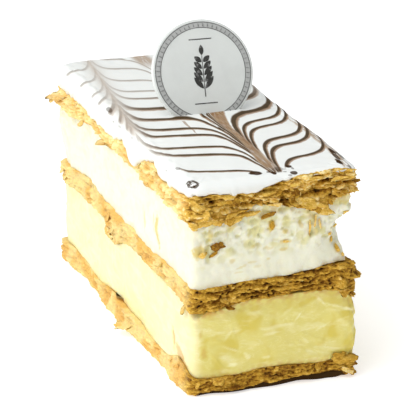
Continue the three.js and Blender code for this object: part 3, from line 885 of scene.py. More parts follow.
def pastry_finish(settings):
    """Baked leaves: dark in the gaps, pale at the edges, mottled and grainy. The dark in the gaps
    is partly painted shade, and the lit left side is paler as painted highlight.
    """
    made = Finish("Baked pastry")
    place = made.place()
    streaks = made.noise(made.place((1, 1, 4)), 3.0)
    mottle = made.noise(place, 2.2, 4)
    speckle = made.noise(made.place((1, 1, 1.6)), 0.6, 3)
    x, y, _ = made.parts(place)
    # Painted highlight: the lit left side is lifted in bake and mixed towards pale and tan patches.
    side = x.smooth(-WIDTH / 2 + 2.2, -WIDTH / 2 + 0.4)
    side = side * y.smooth(-LENGTH / 2 + 0.5, -LENGTH / 2 + 8)
    tone = made.attribute("bake") * 0.85
    tone = tone + (mottle - 0.5) * 0.6 + (streaks - 0.5) * 0.5 + (speckle - 0.5) * 0.7
    shades = (settings.toast, settings.crust, settings.gold, settings.crumb, settings.pale)
    baked = made.ramp(tone + side * 0.12, tuple(zip(BAKE_STOPS, shades)))
    patch = made.noise(place, 9.0, 1)
    soft = made.mix(patch.smooth(0.44, 0.6), settings.pale, settings.tan)
    height = made.noise(place, 0.3, 2) * 0.5 + made.noise(place, 1.1, 3) * 0.5
    return made.surface(
        made.mix(side * 0.65, baked, soft),
        0.8 - (speckle - 0.5) * 0.2,
        under=(0.06, 1, (0.6, 0.3, 0.1)),
        Specular_IOR_Level=0.15,
        Normal=made.bump(height, 0.25, 0.8),
    )


def cream_finish(settings):
    """Whipped cream: soft, matte, yellower and greyer in its torn holes, partly as painted shade
    there, and in its clearer patches.
    """
    made = Finish("Whipped cream")
    place = made.place()
    patch = made.noise(place, 5.0, 3)
    froth = made.noise(place, 0.7, 3)
    hollow = made.attribute("hollow") * 0.9 + (patch - 0.5) * 0.4
    stain = made.attribute("stain") + (froth - 0.5) * 0.2
    body = made.mix(hollow, settings.cream, settings.hollow)
    return made.surface(
        made.mix(stain.larger(0), body, settings.stain),
        0.55,
        under=(0.35, 1.5, (1.0, 0.8, 0.45)),
        Specular_IOR_Level=0.3,
        Normal=made.bump(froth * 0.6 + patch * 0.4, 0.2, 0.5),
    )


def custard_finish(settings):
    """Set custard: glossy, clearer in patches, with paler smears left by the knife and a painted
    highlight that makes the lit left side paler.
    """
    made = Finish("Custard")
    place = made.place()
    cloud = made.noise(place, 6.0, 2, 0.45, 0.5)
    slant = made.place((1, 1, 3.0), turn=(0, radians(35), 0))
    smear = made.noise(slant, 8.0, 3, 0.5, 0.4)
    scratch = made.noise(slant, 4.0, 2, 0.5, 1.0)
    fine = made.noise(place, 2.2, 2)
    thin = abs(scratch - 0.5).smooth(0.03, 0.0) * cloud.smooth(0.6, 0.45) * 0.22
    # Painted highlight: the lit left side is paler.
    side = made.parts(place)[0].smooth(-WIDTH / 2 + 5, -WIDTH / 2 + 1)
    paler = smear.smooth(0.5, 0.75) * 0.5 + thin + side * 0.8 + made.attribute("pale")
    body = made.mix(cloud.smooth(0.45, 0.7), settings.custard, settings.deep)
    body = made.mix(paler.smaller(1), body, settings.smear)
    body = made.mix(made.attribute("clear") * 0.9, body, settings.deep)
    return made.surface(
        made.mix(made.attribute("stain") * 0.8, body, settings.caramel),
        0.36 + (fine - 0.5) * 0.2,
        under=(0.3, 2, (1.0, 0.75, 0.25)),
        Specular_IOR_Level=0.4,
        Normal=made.bump(smear * 0.6 + fine * 0.4, 0.35, 0.5),
    )


# Where each line crosses the slice, left and right of the middle drag, and how broad it is there.
LINES = (
    (5.5, -60, 0.8, 1.0),
    (20.8, 16.5, 1.1, 0.8),
    (28.2, 27.8, 1.0, 0.9),
    (39.9, 33.7, 1.0, 0.9),
    (46.2, 44.9, 1.1, 0.8),
    (56.1, 50.8, 1.2, 0.8),
    (66.8, 59.3, 1.5, 1.4),
    (77.6, 71.0, 0.9, 1.2),
    (85.1, 81.5, 0.8, 1.0),
    (96.7, 92.0, 0.8, 1.0),
    (109.4, 104.0, 0.8, 1.0),
    (120.0, 116.0, 0.8, 1.0),
)
# Across, ahead, half sizes and darkness of the blots that the blade left.
ICING_MARKS = (
    (20.6, 3.6, 2.1, 1.7, 1.0),
    (25.8, 2.3, 0.8, 1.3, 1.0),
    (24.6, 3.6, 0.6, 0.6, 0.7),
    (28.4, 4.6, 2.2, 0.9, 0.3),
    (31.7, 6.2, 0.9, 1.0, 1.0),
    (32.4, 4.6, 0.4, 0.9, 0.6),
    (31.4, 0.9, 1.0, 1.2, 0.95),
    (30.0, -0.2, 0.7, 0.6, 0.5),
    (29.2, 2.4, 0.6, 0.5, 0.6),
    (28.2, 5.2, 1.5, 1.6, 0.45),
    (1.6, 14.6, 0.7, 1.2, 0.5),
    (-0.6, 17.5, 0.5, 1.0, 0.4),
    (0.4, 73.4, 0.6, 2.2, 0.6),
    (-0.9, 65.4, 0.5, 1.8, 0.9),
    (-0.7, 59.6, 0.4, 1.6, 0.6),
    (-0.6, 48.6, 0.4, 1.4, 0.5),
    (46.7, 5.0, 0.8, 2.6, 1.0),
    (47.6, 9.5, 0.6, 3.2, 0.9),
    (48.3, 14.0, 0.8, 2.8, 1.0),
    (49.4, 11.0, 0.6, 3.6, 0.75),
    (48.2, 0.6, 0.5, 1.2, 0.7),
)
# Across, ahead and half sizes of the loop that one line makes at the front left corner.
LOOP = (1.4, 1.5, 1.15, 2.0)
# Where the blade was dragged back at both sides and forward in the middle, across the slice, and
# how fast the pull of each side's drag fades.
LEFT_DRAG, MIDDLE_DRAG, RIGHT_DRAG = -0.3, 26.7, 50.8
LEFT_FADE, RIGHT_FADE = 0.7, 0.285


def oval(x, y, across, ahead, half_across, half_ahead):
    """The square of the distance from an oval's middle, which is 1 on its edge."""
    u, v = (x - across) / half_across, (y - ahead) / half_ahead
    return u * u + v * v


def band(apart, half, soft):
    """1 inside a band and 0 outside, from how far it is to its middle."""
    return (abs(apart) / half).smooth(*soft)


def feathered(x, y, flow, warp, settings):
    """The dark cores and brown fringes of the dragged lines, and how far left each place is."""
    from_left = x - ((y - 42) * 0.121).larger(0) - LEFT_DRAG
    from_middle = x - y * 0.003 - MIDDLE_DRAG
    right_half = from_middle.smooth(-0.4, 0.4)
    side = settings.pull_side / MM
    left_pull = from_left.fading(LEFT_FADE) * side
    right_pull = (x - RIGHT_DRAG).fading(RIGHT_FADE) * side * 1.35
    middle_pull = from_middle.fading(0.545 - right_half * 0.205) * settings.pull_middle / MM
    row = y - left_pull - right_pull + middle_pull
    row = row + (x - 25) * (0.173 + (y * -0.00215 + 0.086).larger(0))
    slope = left_pull * LEFT_FADE + right_pull * RIGHT_FADE + middle_pull * 0.4
    line = (flow * 0.5 + 0.75) * (slope.smaller(14) * 0.3 + 1) * (settings.line / MM)
    first = x.smooth(1.4, 2.2) * x.smooth(21.5, 20)
    shown = (y - x.smooth(28, 31) * 3.5 + (warp - 0.5) * 2).smooth(2.0, 4.0)
    core = fringe = x * 0
    for left_place, right_place, left_breadth, right_breadth in LINES:
        stop = right_half * (right_place - left_place) + left_place
        breadth = right_half * (right_breadth - left_breadth) + left_breadth
        apart = (row - stop) / (line * breadth)
        extent = first if right_place < 0 else shown
        core = core.larger(abs(apart).smooth(0.55, 0.25) * extent)
        fringe = fringe.larger(abs(apart + 0.22).smooth(0.8, 0.35) * extent)
    return core, fringe, from_left


def icing_finish(settings):
    """White fondant with thin dark lines that a blade has dragged back and forth."""
    made = Finish("Feathered fondant")
    place = made.place(origin=(-WIDTH / 2, -LENGTH / 2, 0))
    x, y, z = made.parts(place)
    warp = made.noise(place, 12.0, 1)
    flow = made.noise(place, 2.5, 3)
    crinkle = made.noise(place, 0.8, 2)
    streak = made.noise(made.place((1, 0.1, 1)), 0.55, 3)
    threads = made.noise(made.place((1, 0.04, 1)), 0.9, 1).smooth(0.42, 0.56)
    x = x + (warp - 0.5) * 0.8
    y = y + (warp - 0.5) * 1.2 + (flow - 0.5) * 0.35
    core, fringe, from_left = feathered(x, y, flow, warp, settings)

    # Chocolate smeared thin along the drags.
    spine_foot = y.smooth(32, 12)
    spine = x - 27.5 - ((y - 44) * 0.1).larger(0) + spine_foot * 0.7
    spine = band(spine, ((y - 44) * 0.09).larger(0) + 0.95 + spine_foot * 0.8, (1.25, 0.8))
    spine = spine * y.smooth(3, 9) * y.smooth(76, 66)
    left_spine = (from_left + 0.3).fading(0.6) * y.smooth(40, 56) * 0.5
    lip = x - (y - 4).larger(0).smaller(14) * 0.09 - 47.6
    right_spine = band(lip, 1.4, (1.3, 0.5)) * y.smooth(-1, 2) * y.smooth(52, 46)
    back_spine = band(x - 26, 3.0, (1.3, 0.5)) * y.smooth(106, 117) * 0.7
    dragged = spine.larger(left_spine).larger(back_spine)
    gaps = spine_foot * 0.35
    stain = dragged * (streak.smooth(0.25, 0.5) * 0.55 + 0.55 - gaps + threads * gaps)
    stain = stain.smaller(1).larger(right_spine * streak.smooth(0.42, 0.54) * 0.9)
    fibre = band(x - 16.9 + (flow - 0.5) * 1.2, (y - 41) * 0.028 + 0.16, (1.2, 0.6))
    fibre = fibre * y.smooth(41, 44) * y.smooth(55.5, 53.5)

    # Blots and a loop, which also run down over the edge.
    folded = y + (z - ICING_TOP).smaller(0)
    loop = oval(x, folded, *LOOP) + (flow - 0.5) * 2.2 + (crinkle - 0.5) * 2.8
    marks = abs(loop - 1).smooth(1.0, 0.4) * (crinkle * 0.8 + 0.5).smaller(1)
    for *shape, darkness in ICING_MARKS:
        spot = oval(x, folded, *shape) + (flow - 0.5) * 1.6
        marks = marks.larger(spot.smooth(1.25, 0.7) * darkness)
    blotted = (marks * (0.85 + flow * 0.3)).smaller(1)
    blotted = blotted * z.smooth(ICING_TOP - 3, ICING_TOP - 1.5)

    # Paler lines far back and at the left, none on the sides, and a greyer lip low down, which is
    # painted shade with some thin icing.
    faded = (1 - from_left.fading(0.35) * 0.75) * (1 - y.smooth(62, 90) * 0.6)
    upward = z.smooth(ICING_TOP - 1.9, ICING_TOP - 0.9)
    # Painted shade: the lip darkens below the top, partly thin icing over the pastry.
    thin = z.smooth(ICING_TOP - 1.2, ICING_TOP - 3.4) * (0.3 + flow * 0.3)
    lined = core * faded * (1 - dragged * 0.85) * upward
    fringed = fringe * faded * 0.9 * upward * (1 - dragged * 0.8)
    body = made.mix(thin, settings.icing, settings.thin)
    body = made.mix(fringed, body, settings.fringe)
    spine_shade = made.mix(streak.smooth(0.62, 0.4), settings.spine, settings.fringe)
    body = made.mix((stain * upward).larger(fibre * 0.7), body, spine_shade)
    dark = lined.larger(blotted)
    return made.surface(
        made.mix(blotted, made.mix(lined, body, settings.ink), settings.blot),
        0.3 + dark * 0.3,
        under=(0.12, 1, (1.0, 0.9, 0.8)),
        Specular_IOR_Level=0.1,
        Coat_Weight=0.16 - dark * 0.16,
        Coat_Roughness=0.15,
        Normal=made.bump(warp * 0.8 + flow * 0.2, 0.1, 0.3),
    )


def plaque_finish(settings):
    """Moulded white chocolate, satin with a faint cloudiness."""
    made = Finish("Moulded plaque")
    place = made.place()
    cloud = made.noise(place, 6.0, 3)
    fine = made.noise(place, 0.8, 2)
    darker = tuple(part * 0.9 for part in settings.face)
    return made.surface(
        made.mix(cloud.smooth(0.4, 0.8) * 0.6, settings.face, darker),
        0.34 + (fine - 0.5) * 0.15,
        under=(0.1, 1, (1.0, 0.9, 0.8)),
        Normal=made.bump(fine, 0.06, 0.4),
    )


def print_finish(name, shade):
    """Edible print, a little worn."""
    made = Finish(name)
    wear = made.noise(made.place(), 1.2, 3)
    lighter = tuple(part + (0.6 - part) * 0.35 for part in shade)
    worn = made.mix(wear.smooth(0.5, 0.75), shade, lighter)
    return made.surface(worn, 0.5 + (wear - 0.5) * 0.2, Normal=made.bump(wear, 0.03, 0.3))


def floor_finish(settings):
    """Plain near-white floor."""
    made = Finish("Plain floor")
    grain = made.noise(made.place(), 9.0, 2)
    pale = made.mix(grain, linear((232, 232, 232)), linear((236, 236, 236)))
    glow = {"Emission_Color": (1, 1, 1, 1), "Emission_Strength": settings.glow}
    return made.surface(pale, 0.9, **glow)


# Creams and icing.
# How far the walls of the creams reach past their solids, below and above.
SEAM = 0.3


def on_cut_face(along):
    """1 on the front and right sides, which are torn most, and near 0 on the smooth left side."""
    smoother = 1 - 0.8 * smooth(along, right(LENGTH), left(LENGTH))
    return np.clip(smooth(along, 0, 5) * smoother, 0.12, 1)


# Along the outline, height, half along, half up, slant and strength of soft marks on the creams:
# crumbs worked into the whipped cream, its clearer patches, the custard's, and its pale smears.
CREAM_STAINS = (
    (2.4, 43.7, 3.0, 1.8, 0.1, 0.75),
    (6.1, 48.3, 0.8, 2.0, 0.0, 0.5),
    (12.5, 50.7, 1.4, 1.0, 0.2, 0.6),
    (24.5, 49.4, 1.2, 1.9, 0.1, 0.9),
    (28.7, 47.1, 1.0, 0.7, 0.0, 0.7),
    (28.9, 44.1, 1.7, 0.7, 0.1, 0.6),
    (28.4, 41.6, 1.3, 0.5, 0.0, 0.6),
    (23.8, 42.6, 1.5, 0.5, 0.0, 0.45),
    (19.8, 43.7, 1.5, 0.6, 0.0, 0.35),
    (33.4, 48.7, 0.7, 1.1, 0.1, 0.5),
    (38.1, 46.0, 0.7, 1.1, 0.0, 0.5),
    (13.0, 40.0, 0.9, 0.7, 0.0, 0.4),
    (19.1, 39.0, 1.5, 0.35, 0.1, 0.45),
    (15.6, 37.9, 1.7, 0.3, 0.35, 0.4),
    (14.8, 36.4, 1.3, 0.25, 0.1, 0.35),
    (23.8, 39.4, 0.7, 0.4, 0.0, 0.5),
    (20.5, 37.7, 1.3, 0.4, 0.0, 0.25),
    (46.7, 54.8, 2.4, 1.3, 0.0, 0.5),
    (37.0, 52.0, 3.0, 1.6, 0.0, 0.4),
    (22.0, 53.6, 6.0, 1.0, 0.1, 0.4),
    (44.5, 42.2, 1.4, 1.2, 0.0, 0.7),
    (46.7, 39.4, 1.6, 1.2, 0.4, 0.7),
    (left(29.0), 40.5, 1.5, 5.2, 0.05, 0.75),
    (left(33.0), 42.0, 0.8, 3.4, 0.05, 0.4),
    (left(42.3), 39.0, 1.2, 3.0, 0.1, 0.45),
    (right(52), 46.0, 2.6, 3.4, 0.2, 0.5),
    (right(84), 41.0, 2.0, 2.8, 0.4, 0.6),
    (right(20), 49.0, 4.0, 2.0, -0.2, 0.45),
)
CREAM_CLEAR = (
    (19.8, 48.2, 2.6, 1.9, 0.0, 0.9),
    (29.0, 50.2, 1.4, 2.2, 0.0, 0.9),
    (33.5, 45.5, 1.4, 1.6, 0.0, 0.6),
    (9.5, 41.0, 2.2, 1.2, 0.3, 0.4),
)
CUSTARD_CLEAR = (
    (35.3, 24.9, 3.4, 0.8, 0.35, 1.0),
    (19.6, 25.0, 1.6, 0.8, 0.0, 0.7),
    (4.1, 13.6, 1.5, 2.8, 0.0, 0.75),
    (3.2, 18.8, 0.9, 1.1, 0.0, 0.5),
    (12.8, 14.2, 2.2, 0.9, 0.0, 0.4),
    (48.4, 11.8, 1.2, 1.6, 0.0, 0.7),
    (48.4, 18.0, 1.0, 1.8, 0.0, 0.6),
    (43.5, 24.4, 3.0, 1.0, -0.2, 0.6),
    (left(13.3), 13.6, 1.2, 3.6, 0.1, 0.6),
)
CUSTARD_STAINS = (
    (left(12.6), 14.2, 0.7, 2.6, 0.1, 0.75),
    (left(8.0), 9.6, 4.6, 1.9, -0.65, 0.7),
    (4.2, 13.0, 0.8, 1.5, 0.1, 0.4),
    (3.0, 18.8, 0.4, 0.8, 0.0, 0.3),
)
CUSTARD_SMEARS = (
    (39.9, 24.9, 2.4, 0.35, -0.85, 0.9),
    (45.8, 22.2, 5.4, 0.4, -0.35, 0.9),
    (32.9, 20.8, 1.8, 0.3, 0.9, 0.7),
    (25.0, 16.8, 2.8, 0.35, 0.06, 0.8),
    (12.6, 13.4, 2.8, 0.3, -0.42, 0.9),
    (17.4, 10.9, 1.4, 0.7, -0.9, 0.9),
    (23.2, 9.6, 1.3, 0.5, -0.1, 0.8),
    (12.9, 8.4, 1.4, 0.5, 0.1, 0.7),
    (35.1, 13.4, 1.8, 0.35, -0.8, 0.6),
    (11.4, 17.8, 1.5, 0.5, 0.9, 0.5),
    (29.5, 22.8, 1.6, 0.5, 0.5, 0.5),
    (40.5, 16.8, 2.6, 0.3, 0.5, 0.5),
)


def crumbed(wall, place, seed, span, least, below, above):
    """Crumbs near the pastry below and above a cream, each with their strength and reach."""
    height = place[..., 2]
    crumbs = smooth(lumps(place, 1.6, 1.2, seed), *span) * np.maximum(on_cut_face(ALONG), least)
    low = below[0] * crumbs * np.exp(-np.maximum(height - wall.low, 0) / below[1])
    high = above[0] * crumbs * np.exp(-np.maximum(wall.high - height, 0) / above[1])
    return np.maximum(low, high)


def whipped_cream(settings, finish):
    """Whipped cream: smooth low down, torn into pits and ridges higher up."""
    wall = Wall("whipped_cream")
    out, height = wall.grid(60, SEAM, SEAM)
    place = OUTLINE.ring(out, height)
    x, y, _ = np.moveaxis(place, -1, 0)
    share = np.linspace(0, 1, len(out))[:, None]
    bulge = lumps(place, 5, 4, 51) + 0.5 * lumps(place, 2.2, 2, 52)
    rough = on_cut_face(ALONG) * smooth(share + 0.1 * noise(x / 6, y / 6, 0, 55), 0.25, 0.5)
    pits = smooth(lumps(place, 2.6, 1.8, 53), 0.15, 0.7)
    pits = pits + 0.35 * smooth(lumps(place, 1.1, 0.9, 54), 0.2, 0.6)
    ridges = 0.4 * (1 - abs(lumps(place, 2.8, 4.0, 56)) * 3)
    push = settings.lump / MM * bulge + rough * (ridges - settings.pit / MM * pits)
    notch = near(ALONG, right(0), 5.5) * np.tanh(3 * lumps(place, 2.6, 2.0, 59))
    bite = 1.8 * near(ALONG, right(0), 4.5) * near(height, 45.4, 2.6)
    push = push + 0.9 * notch * smooth(share, 0.1, 0.3) - bite
    clear = 0.8 * smooth(lumps(place, 3.6, 2.4, 57), 0.0, 0.45) * rough
    clear = np.maximum(clear, marked(height, CREAM_CLEAR))
    # Torn holes take the hollow colour: painted shade in the pits, with clearer cream.
    clear = np.maximum(clear, 0.9 * np.clip(pits * rough, 0, 1))
    crumbs = crumbed(wall, place, 60, (-0.3, 0.5), 0.4, (0.4, 0.7), (0.7, 0.8))
    stain = np.maximum(marked(height, CREAM_STAINS), crumbs)
    attributes = {"hollow": wall.over(clear), "stain": wall.over(stain)}
    body = slab("whipped_cream_body", wall.closed(out + push, height), finish, attributes)
    declare(body, "whipped_cream", "whipped_cream")


def custard(settings, finish):
    """Custard: a glossy cut face with gentle waves and the drag marks of the knife."""
    wall = Wall("custard")
    out, height = wall.grid(52, SEAM, SEAM)
    place = OUTLINE.ring(out, height)
    x, y, z = np.moveaxis(place, -1, 0)
    wave = lumps(place, 9, 6, 61) + 0.4 * lumps(place, 3, 2.4, 62)
    drag = np.maximum(0, 1 - abs(noise(x / 8, y / 8, (z + 0.6 * x) / 4, 63)) * 9)
    drag = 0.22 * drag * smooth(lumps(place, 7, 7, 64), -0.1, 0.4)
    push = settings.wave / MM * wave + drag
    push = push + 0.5 * near(ALONG, right(1), 3) * np.tanh(3 * lumps(place, 1.5, 2.2, 65))
    pale = 0.6 * marked(height, CUSTARD_SMEARS)
    crumbs = crumbed(wall, place, 66, (-0.5, 0.4), 0.3, (0.65, 0.7), (1, 1.1))
    stain = np.maximum(marked(height, CUSTARD_STAINS), crumbs)
    attributes = {
        "clear": wall.over(marked(height, CUSTARD_CLEAR)),
        "pale": wall.over(pale),
        "stain": wall.over(stain),
    }
    rings = wall.closed(out + push + 0.15 * pale, height)
    declare(slab("custard_body", rings, finish, attributes), "custard", "custard")


def plaque_ridge(x, y):
    """1 where the icing rises against the plaque, fading away from it."""
    half = (PLAQUE_DIAMETER * PLAQUE_SINK - PLAQUE_SINK**2) ** 0.5
    across = np.maximum(abs(x - PLAQUE_FOOT[0]) - half, 0)
    ahead = np.maximum(abs(y - PLAQUE_FOOT[1]) - PLAQUE_THICKNESS / 2, 0)
    return np.exp(-((np.hypot(across, ahead) / 1.1) ** 2))


def rounding(share):
    """How far a rounded edge falls back: 1 at a share of 0, and nothing from 1 on."""
    return 1 - np.sqrt(1 - (1 - np.clip(share, 0, 1)) ** 2)


def icing(settings, finish):
    """Icing: a soft rounded lip, a faintly uneven top and a ridge around the plaque's foot."""
    wall = Wall("icing", 6)
    drips = 0.2 + 1.1 * np.maximum(noise(ALONG / 2.6, 0.3, 0.7, 74), 0) * smooth(ALONG, 0, 3)
    out, height = wall.grid(20, foot=drips)
    push = 0.12 * lumps(OUTLINE.ring(out, height), 4, 3, 71) + 0.3 * drips
    push = push - 1.5 * rounding((wall.high - height) / 1.6)
    push = push - 0.7 * rounding((height - wall.low + drips) / 0.8)
    rings = wall.closed(out + push, height, ICING_RINGS)
    for ring in rings[-ICING_RINGS - len(RIM_INSETS) :]:
        x, y = ring[:, 0], ring[:, 1]
        inside = smooth(np.minimum(WIDTH / 2 - abs(x), LENGTH / 2 - abs(y)), 0, 4)
        waves = 0.1 * noise(x / 8, y / 8, 0.5, 72) + 0.04 * noise(x / 2.5, y / 2.5, 0.5, 73)
        ring[:, 2] += inside * (waves + settings.ridge / MM * plaque_ridge(x, y))
    declare(slab("icing_body", rings, finish), "icing", "icing")


# Plaque.
TURNED_STEPS = 128
# The print starts just inside the plaque's front face and stands a little proud of it.
PRINT_DEPTH = 0.03 - PLAQUE_THICKNESS / 2
PRINT_THICKNESS = 0.07
BEAD_HALF, BEAD_SLANT = (0.62, 0.36), radians(28)
# Heights on the plaque's face of the stem and of the lowest leaves, with the next ones' distance,
# and those of the two rules, with half their length and width.
STEM_FOOT, STEM_TIP = -7.4, 5.0
LOWEST_LEAVES, LEAVES_APART = -5.0, 2.0
RULES, RULE_HALF = (9.9, -9.4), (3.6, 0.16)
STAND = (
    Matrix.Translation(tuple(MIDDLE * MM))
    @ Matrix.Scale(MM, 4)
    @ PLAQUE_STANCE
    @ Matrix.Scale(1 / MM, 4)
)


def stood(mesh, name, finish, *nodes):
    """A piece from a mesh made flat round the plaque's middle, stood up and leant as the disc is.

    Without a finish it keeps its own.
    """
    mesh.transform(STAND)
    mesh.name = name
    if finish:
        mesh.materials.append(finish)
    declare(placed(name, mesh), "plaque", *nodes)


def turned_mesh(name, profile, ring=False):
    """A profile of radius and depth turned about the level Y axis: a smooth disc, or a ring."""
    step = np.arange(TURNED_STEPS)
    after = (step + 1) % TURNED_STEPS
    angles = step * 2 * pi / TURNED_STEPS
    places, faces = [], [] if ring else [step.tolist()]
    for radius, depth in profile:
        circle = (radius * np.cos(angles), np.full(TURNED_STEPS, depth), radius * np.sin(angles))
        places.append(np.stack(circle, -1))
    for row in range(len(profile) if ring else len(profile) - 1):
        low, high = row * TURNED_STEPS, (row + 1) % len(profile) * TURNED_STEPS
        faces += np.column_stack((low + step, high + step, high + after, low + after)).tolist()
    if not ring:
        faces.append((step[::-1] + (len(profile) - 1) * TURNED_STEPS).tolist())
    mesh = new_mesh(name, np.concatenate(places), faces)
    if not ring:
        mesh.shade_smooth()
    return mesh


def plaque_body(finish):
    """The disc, with a soft rounded edge."""
    radius, half, soft = PLAQUE_DIAMETER / 2, PLAQUE_THICKNESS / 2, 0.45
    turns = [step / 5 * pi / 2 for step in range(6)]
    profile = [(radius * share, -half) for share in (0.3, 0.7, 0.93)]
    profile += [(radius - soft + soft * sin(t), -half + soft - soft * cos(t)) for t in turns]
    profile += [(radius - soft + soft * cos(t), half - soft + soft * sin(t)) for t in turns]
    profile += [(radius * share, half) for share in (0.93, 0.5)]
    stood(turned_mesh("plaque_disc", profile), "plaque_disc", finish, "plaque")


def flat_shape(outline, depth):
    """Places and faces of a thin flat shape that stands a little proud of the plaque's face."""
    count = len(outline)
    places = [(x, y, z) for y in (depth, depth - PRINT_THICKNESS) for x, z in outline]
    faces = [tuple(range(count)), tuple(range(2 * count - 1, count - 1, -1))]
    for n in range(count):
        after = (n + 1) % count
        faces.append((n, n + count, after + count, after))
    return np.array(places), faces


def joined(parts):
    """Places and faces of many shapes as those of one."""
    places, faces, count = [], [], 0
    for its_places, its_faces in parts:
        faces += [tuple(int(corner) + count for corner in face) for face in its_faces]
        places.append(its_places)
        count += len(its_places)
    return np.concatenate(places), faces


def printed_ring(settings, finish, band):
    """Two plain lines with beads between them, printed round the plaque's edge."""
    outer = settings.ring / MM / 2
    inner = outer - settings.ring_width / MM
    bands = (
        ("ring_band", outer, outer - inner, 0.05, band),
        ("ring_outer", outer, 0.3, 0.08, finish),
        ("ring_inner", inner + 0.25, 0.25, 0.08, finish),
    )
    for name, radius, width, proud, its_finish in bands:
        low, high = PRINT_DEPTH, PRINT_DEPTH - proud
        profile = [(radius - width, low), (radius - width, high), (radius, high), (radius, low)]
        stood(turned_mesh(name, profile, ring=True), "plaque_" + name, its_finish)
    long, short = BEAD_HALF
    bead = [(long * cos(a * pi / 4), short * sin(a * pi / 4)) for a in range(8)]
    places, faces = flat_shape(bead, 0)
    beads = templates("bead", [(places[:, [0, 2, 1]], faces)])
    values = {
        "Bead": beads,
        "Radius": (outer + inner) / 2 * MM,
        "Beads": settings.beads,
        "Slant": (0, 0, BEAD_SLANT),
        "Finish": finish,
    }
    tree = Growth("Beads round a circle", values)
    sockets = {0: 96, 4: tree.given("Radius")}
    circle = tree.add("GeometryNodeCurvePrimitiveCircle", None, sockets)
    sockets = {0: circle, 1: tree.given("Beads")}
    points = tree.add("GeometryNodeCurveToPoints", {"mode": "COUNT"}, sockets)
    along = Value(tree, points.socket.node.outputs["Rotation"])
    shape = tree.add("GeometryNodeCollectionInfo", None, {0: tree.given("Bead")})
    sockets = {0: points, 2: shape, 5: tree.turned(along, tree.given("Slant"))}
    grown = tree.add("GeometryNodeInstanceOnPoints", None, sockets)
    base = placed("ring_base", bpy.data.meshes.new("ring_base"))
    mesh = tree.grown(grown, "plaque_beads", base)
    proud = Matrix.Translation((0, (PRINT_DEPTH - 0.03) * MM, 0))
    mesh.transform(proud @ Matrix.Rotation(pi / 2, 4, "X"))
    dropped(beads)
    stood(mesh, "plaque_ring_beads", None)


def printed_sprig(settings, finish):
    """A plain sprig of paired leaves with a short rule above and below."""
    share = np.linspace(0, 1, 9)
    there_and_back = np.concatenate((share, share[-2:0:-1]))
    bow = np.sin(share * pi) ** 0.8
    bow = np.concatenate((bow, -bow[-2:0:-1]))
    outlines = []
    for pair in range(settings.leaves):
        foot = LOWEST_LEAVES + pair * LEAVES_APART
        size = 4.6 - 0.45 * pair
        for side in (-1, 1):
            lean = radians(38 + 3 * pair) * side
            ahead, wide = there_and_back * size, bow * 0.8
            x = ahead * np.sin(lean) + wide * np.cos(lean) + 0.25 * side
            z = foot + ahead * np.cos(lean) - wide * np.sin(lean)
            outlines.append(np.column_stack((x, z)))
    outlines.append(np.column_stack((-0.75 * bow, STEM_TIP + 3.2 * there_and_back)))
    low, high = STEM_FOOT, STEM_TIP
    outlines.append([(-0.15, low), (0.15, low), (0.1, high), (-0.1, high)])
    for height in RULES:
        half, low, high = RULE_HALF[0], height - RULE_HALF[1], height + RULE_HALF[1]
        outlines.append([(-half, low), (half, low), (half, high), (-half, high)])
    mesh = new_mesh("sprig", *joined(flat_shape(outline, PRINT_DEPTH) for outline in outlines))
    mesh.transform(Matrix.Rotation(radians(1), 4, "Y"))
    stood(mesh, "plaque_sprig", finish)


# Scraps of leaf placed one by one.
SCRAP_STEPS = (11, 9)
LAID_THICKNESS, LIFTED_THICKNESS = 0.5, 0.35


def laid(skin, along, height, size, turn, lift, curl, seed):
    """A scrap laid on a skin: its middle, its size along and up, its turn and how far off."""
    places, faces = scrap(SCRAP_STEPS, size, LAID_THICKNESS, curl, seed)
    x, y, z = places.T
    y = y - size[1] * 0.35
    across = x * cos(turn) - y * sin(turn)
    up = x * sin(turn) + y * cos(turn)
    found = []
    for a, level, off in zip(across, height + up, z):
        column = nearest_column(along + a)
        outward = OUTLINE.outward[column]
        start = OUTLINE.rounded[column] + outward * 12
        hit = met(skin, (*start, level), (*-outward, 0))
        base = OUTLINE.rounded[column] if hit is None else hit[:2]
        side = np.array((-outward[1], outward[0])) * along_between(along + a, ALONG[column])
        found.append((*(base + outward * (off + lift) + side), level))
    return np.array(found), faces


def lifted(along, height, size, stance, out, seed):
    """A scrap that sticks out of the wall. Its stance is its dip, roll and turn."""
    places, faces = scrap(SCRAP_STEPS, size, LIFTED_THICKNESS, 0.2, seed)
    column = nearest_column(along)
    outward = Vector((*OUTLINE.outward[column], 0))
    aside = Vector((0, 0, 1)).cross(outward)
    dip, roll, turn = stance
    spin = Matrix.Rotation(turn, 3, "Z") @ Matrix.Rotation(-dip, 3, "X")
    facing = Matrix((-aside, outward, (0, 0, 1))).transposed()
    spin = facing @ spin @ Matrix.Rotation(roll, 3, "Y")
    root = Vector((*OUTLINE.rounded[column], height)) + outward * out
    return np.array([tuple(root + spin @ Vector(place)) for place in places]), faces


def heaped(name, finish, scraps):
    """One piece of pastry from many scraps, each with its bake."""
    bakes, parts = zip(*scraps)
    places, faces = joined(parts)
    bake = np.repeat(bakes, [len(its_places) for its_places, _ in parts])
    declare(mesh_object(name, places, faces, finish, {"bake": bake}), "pastry")


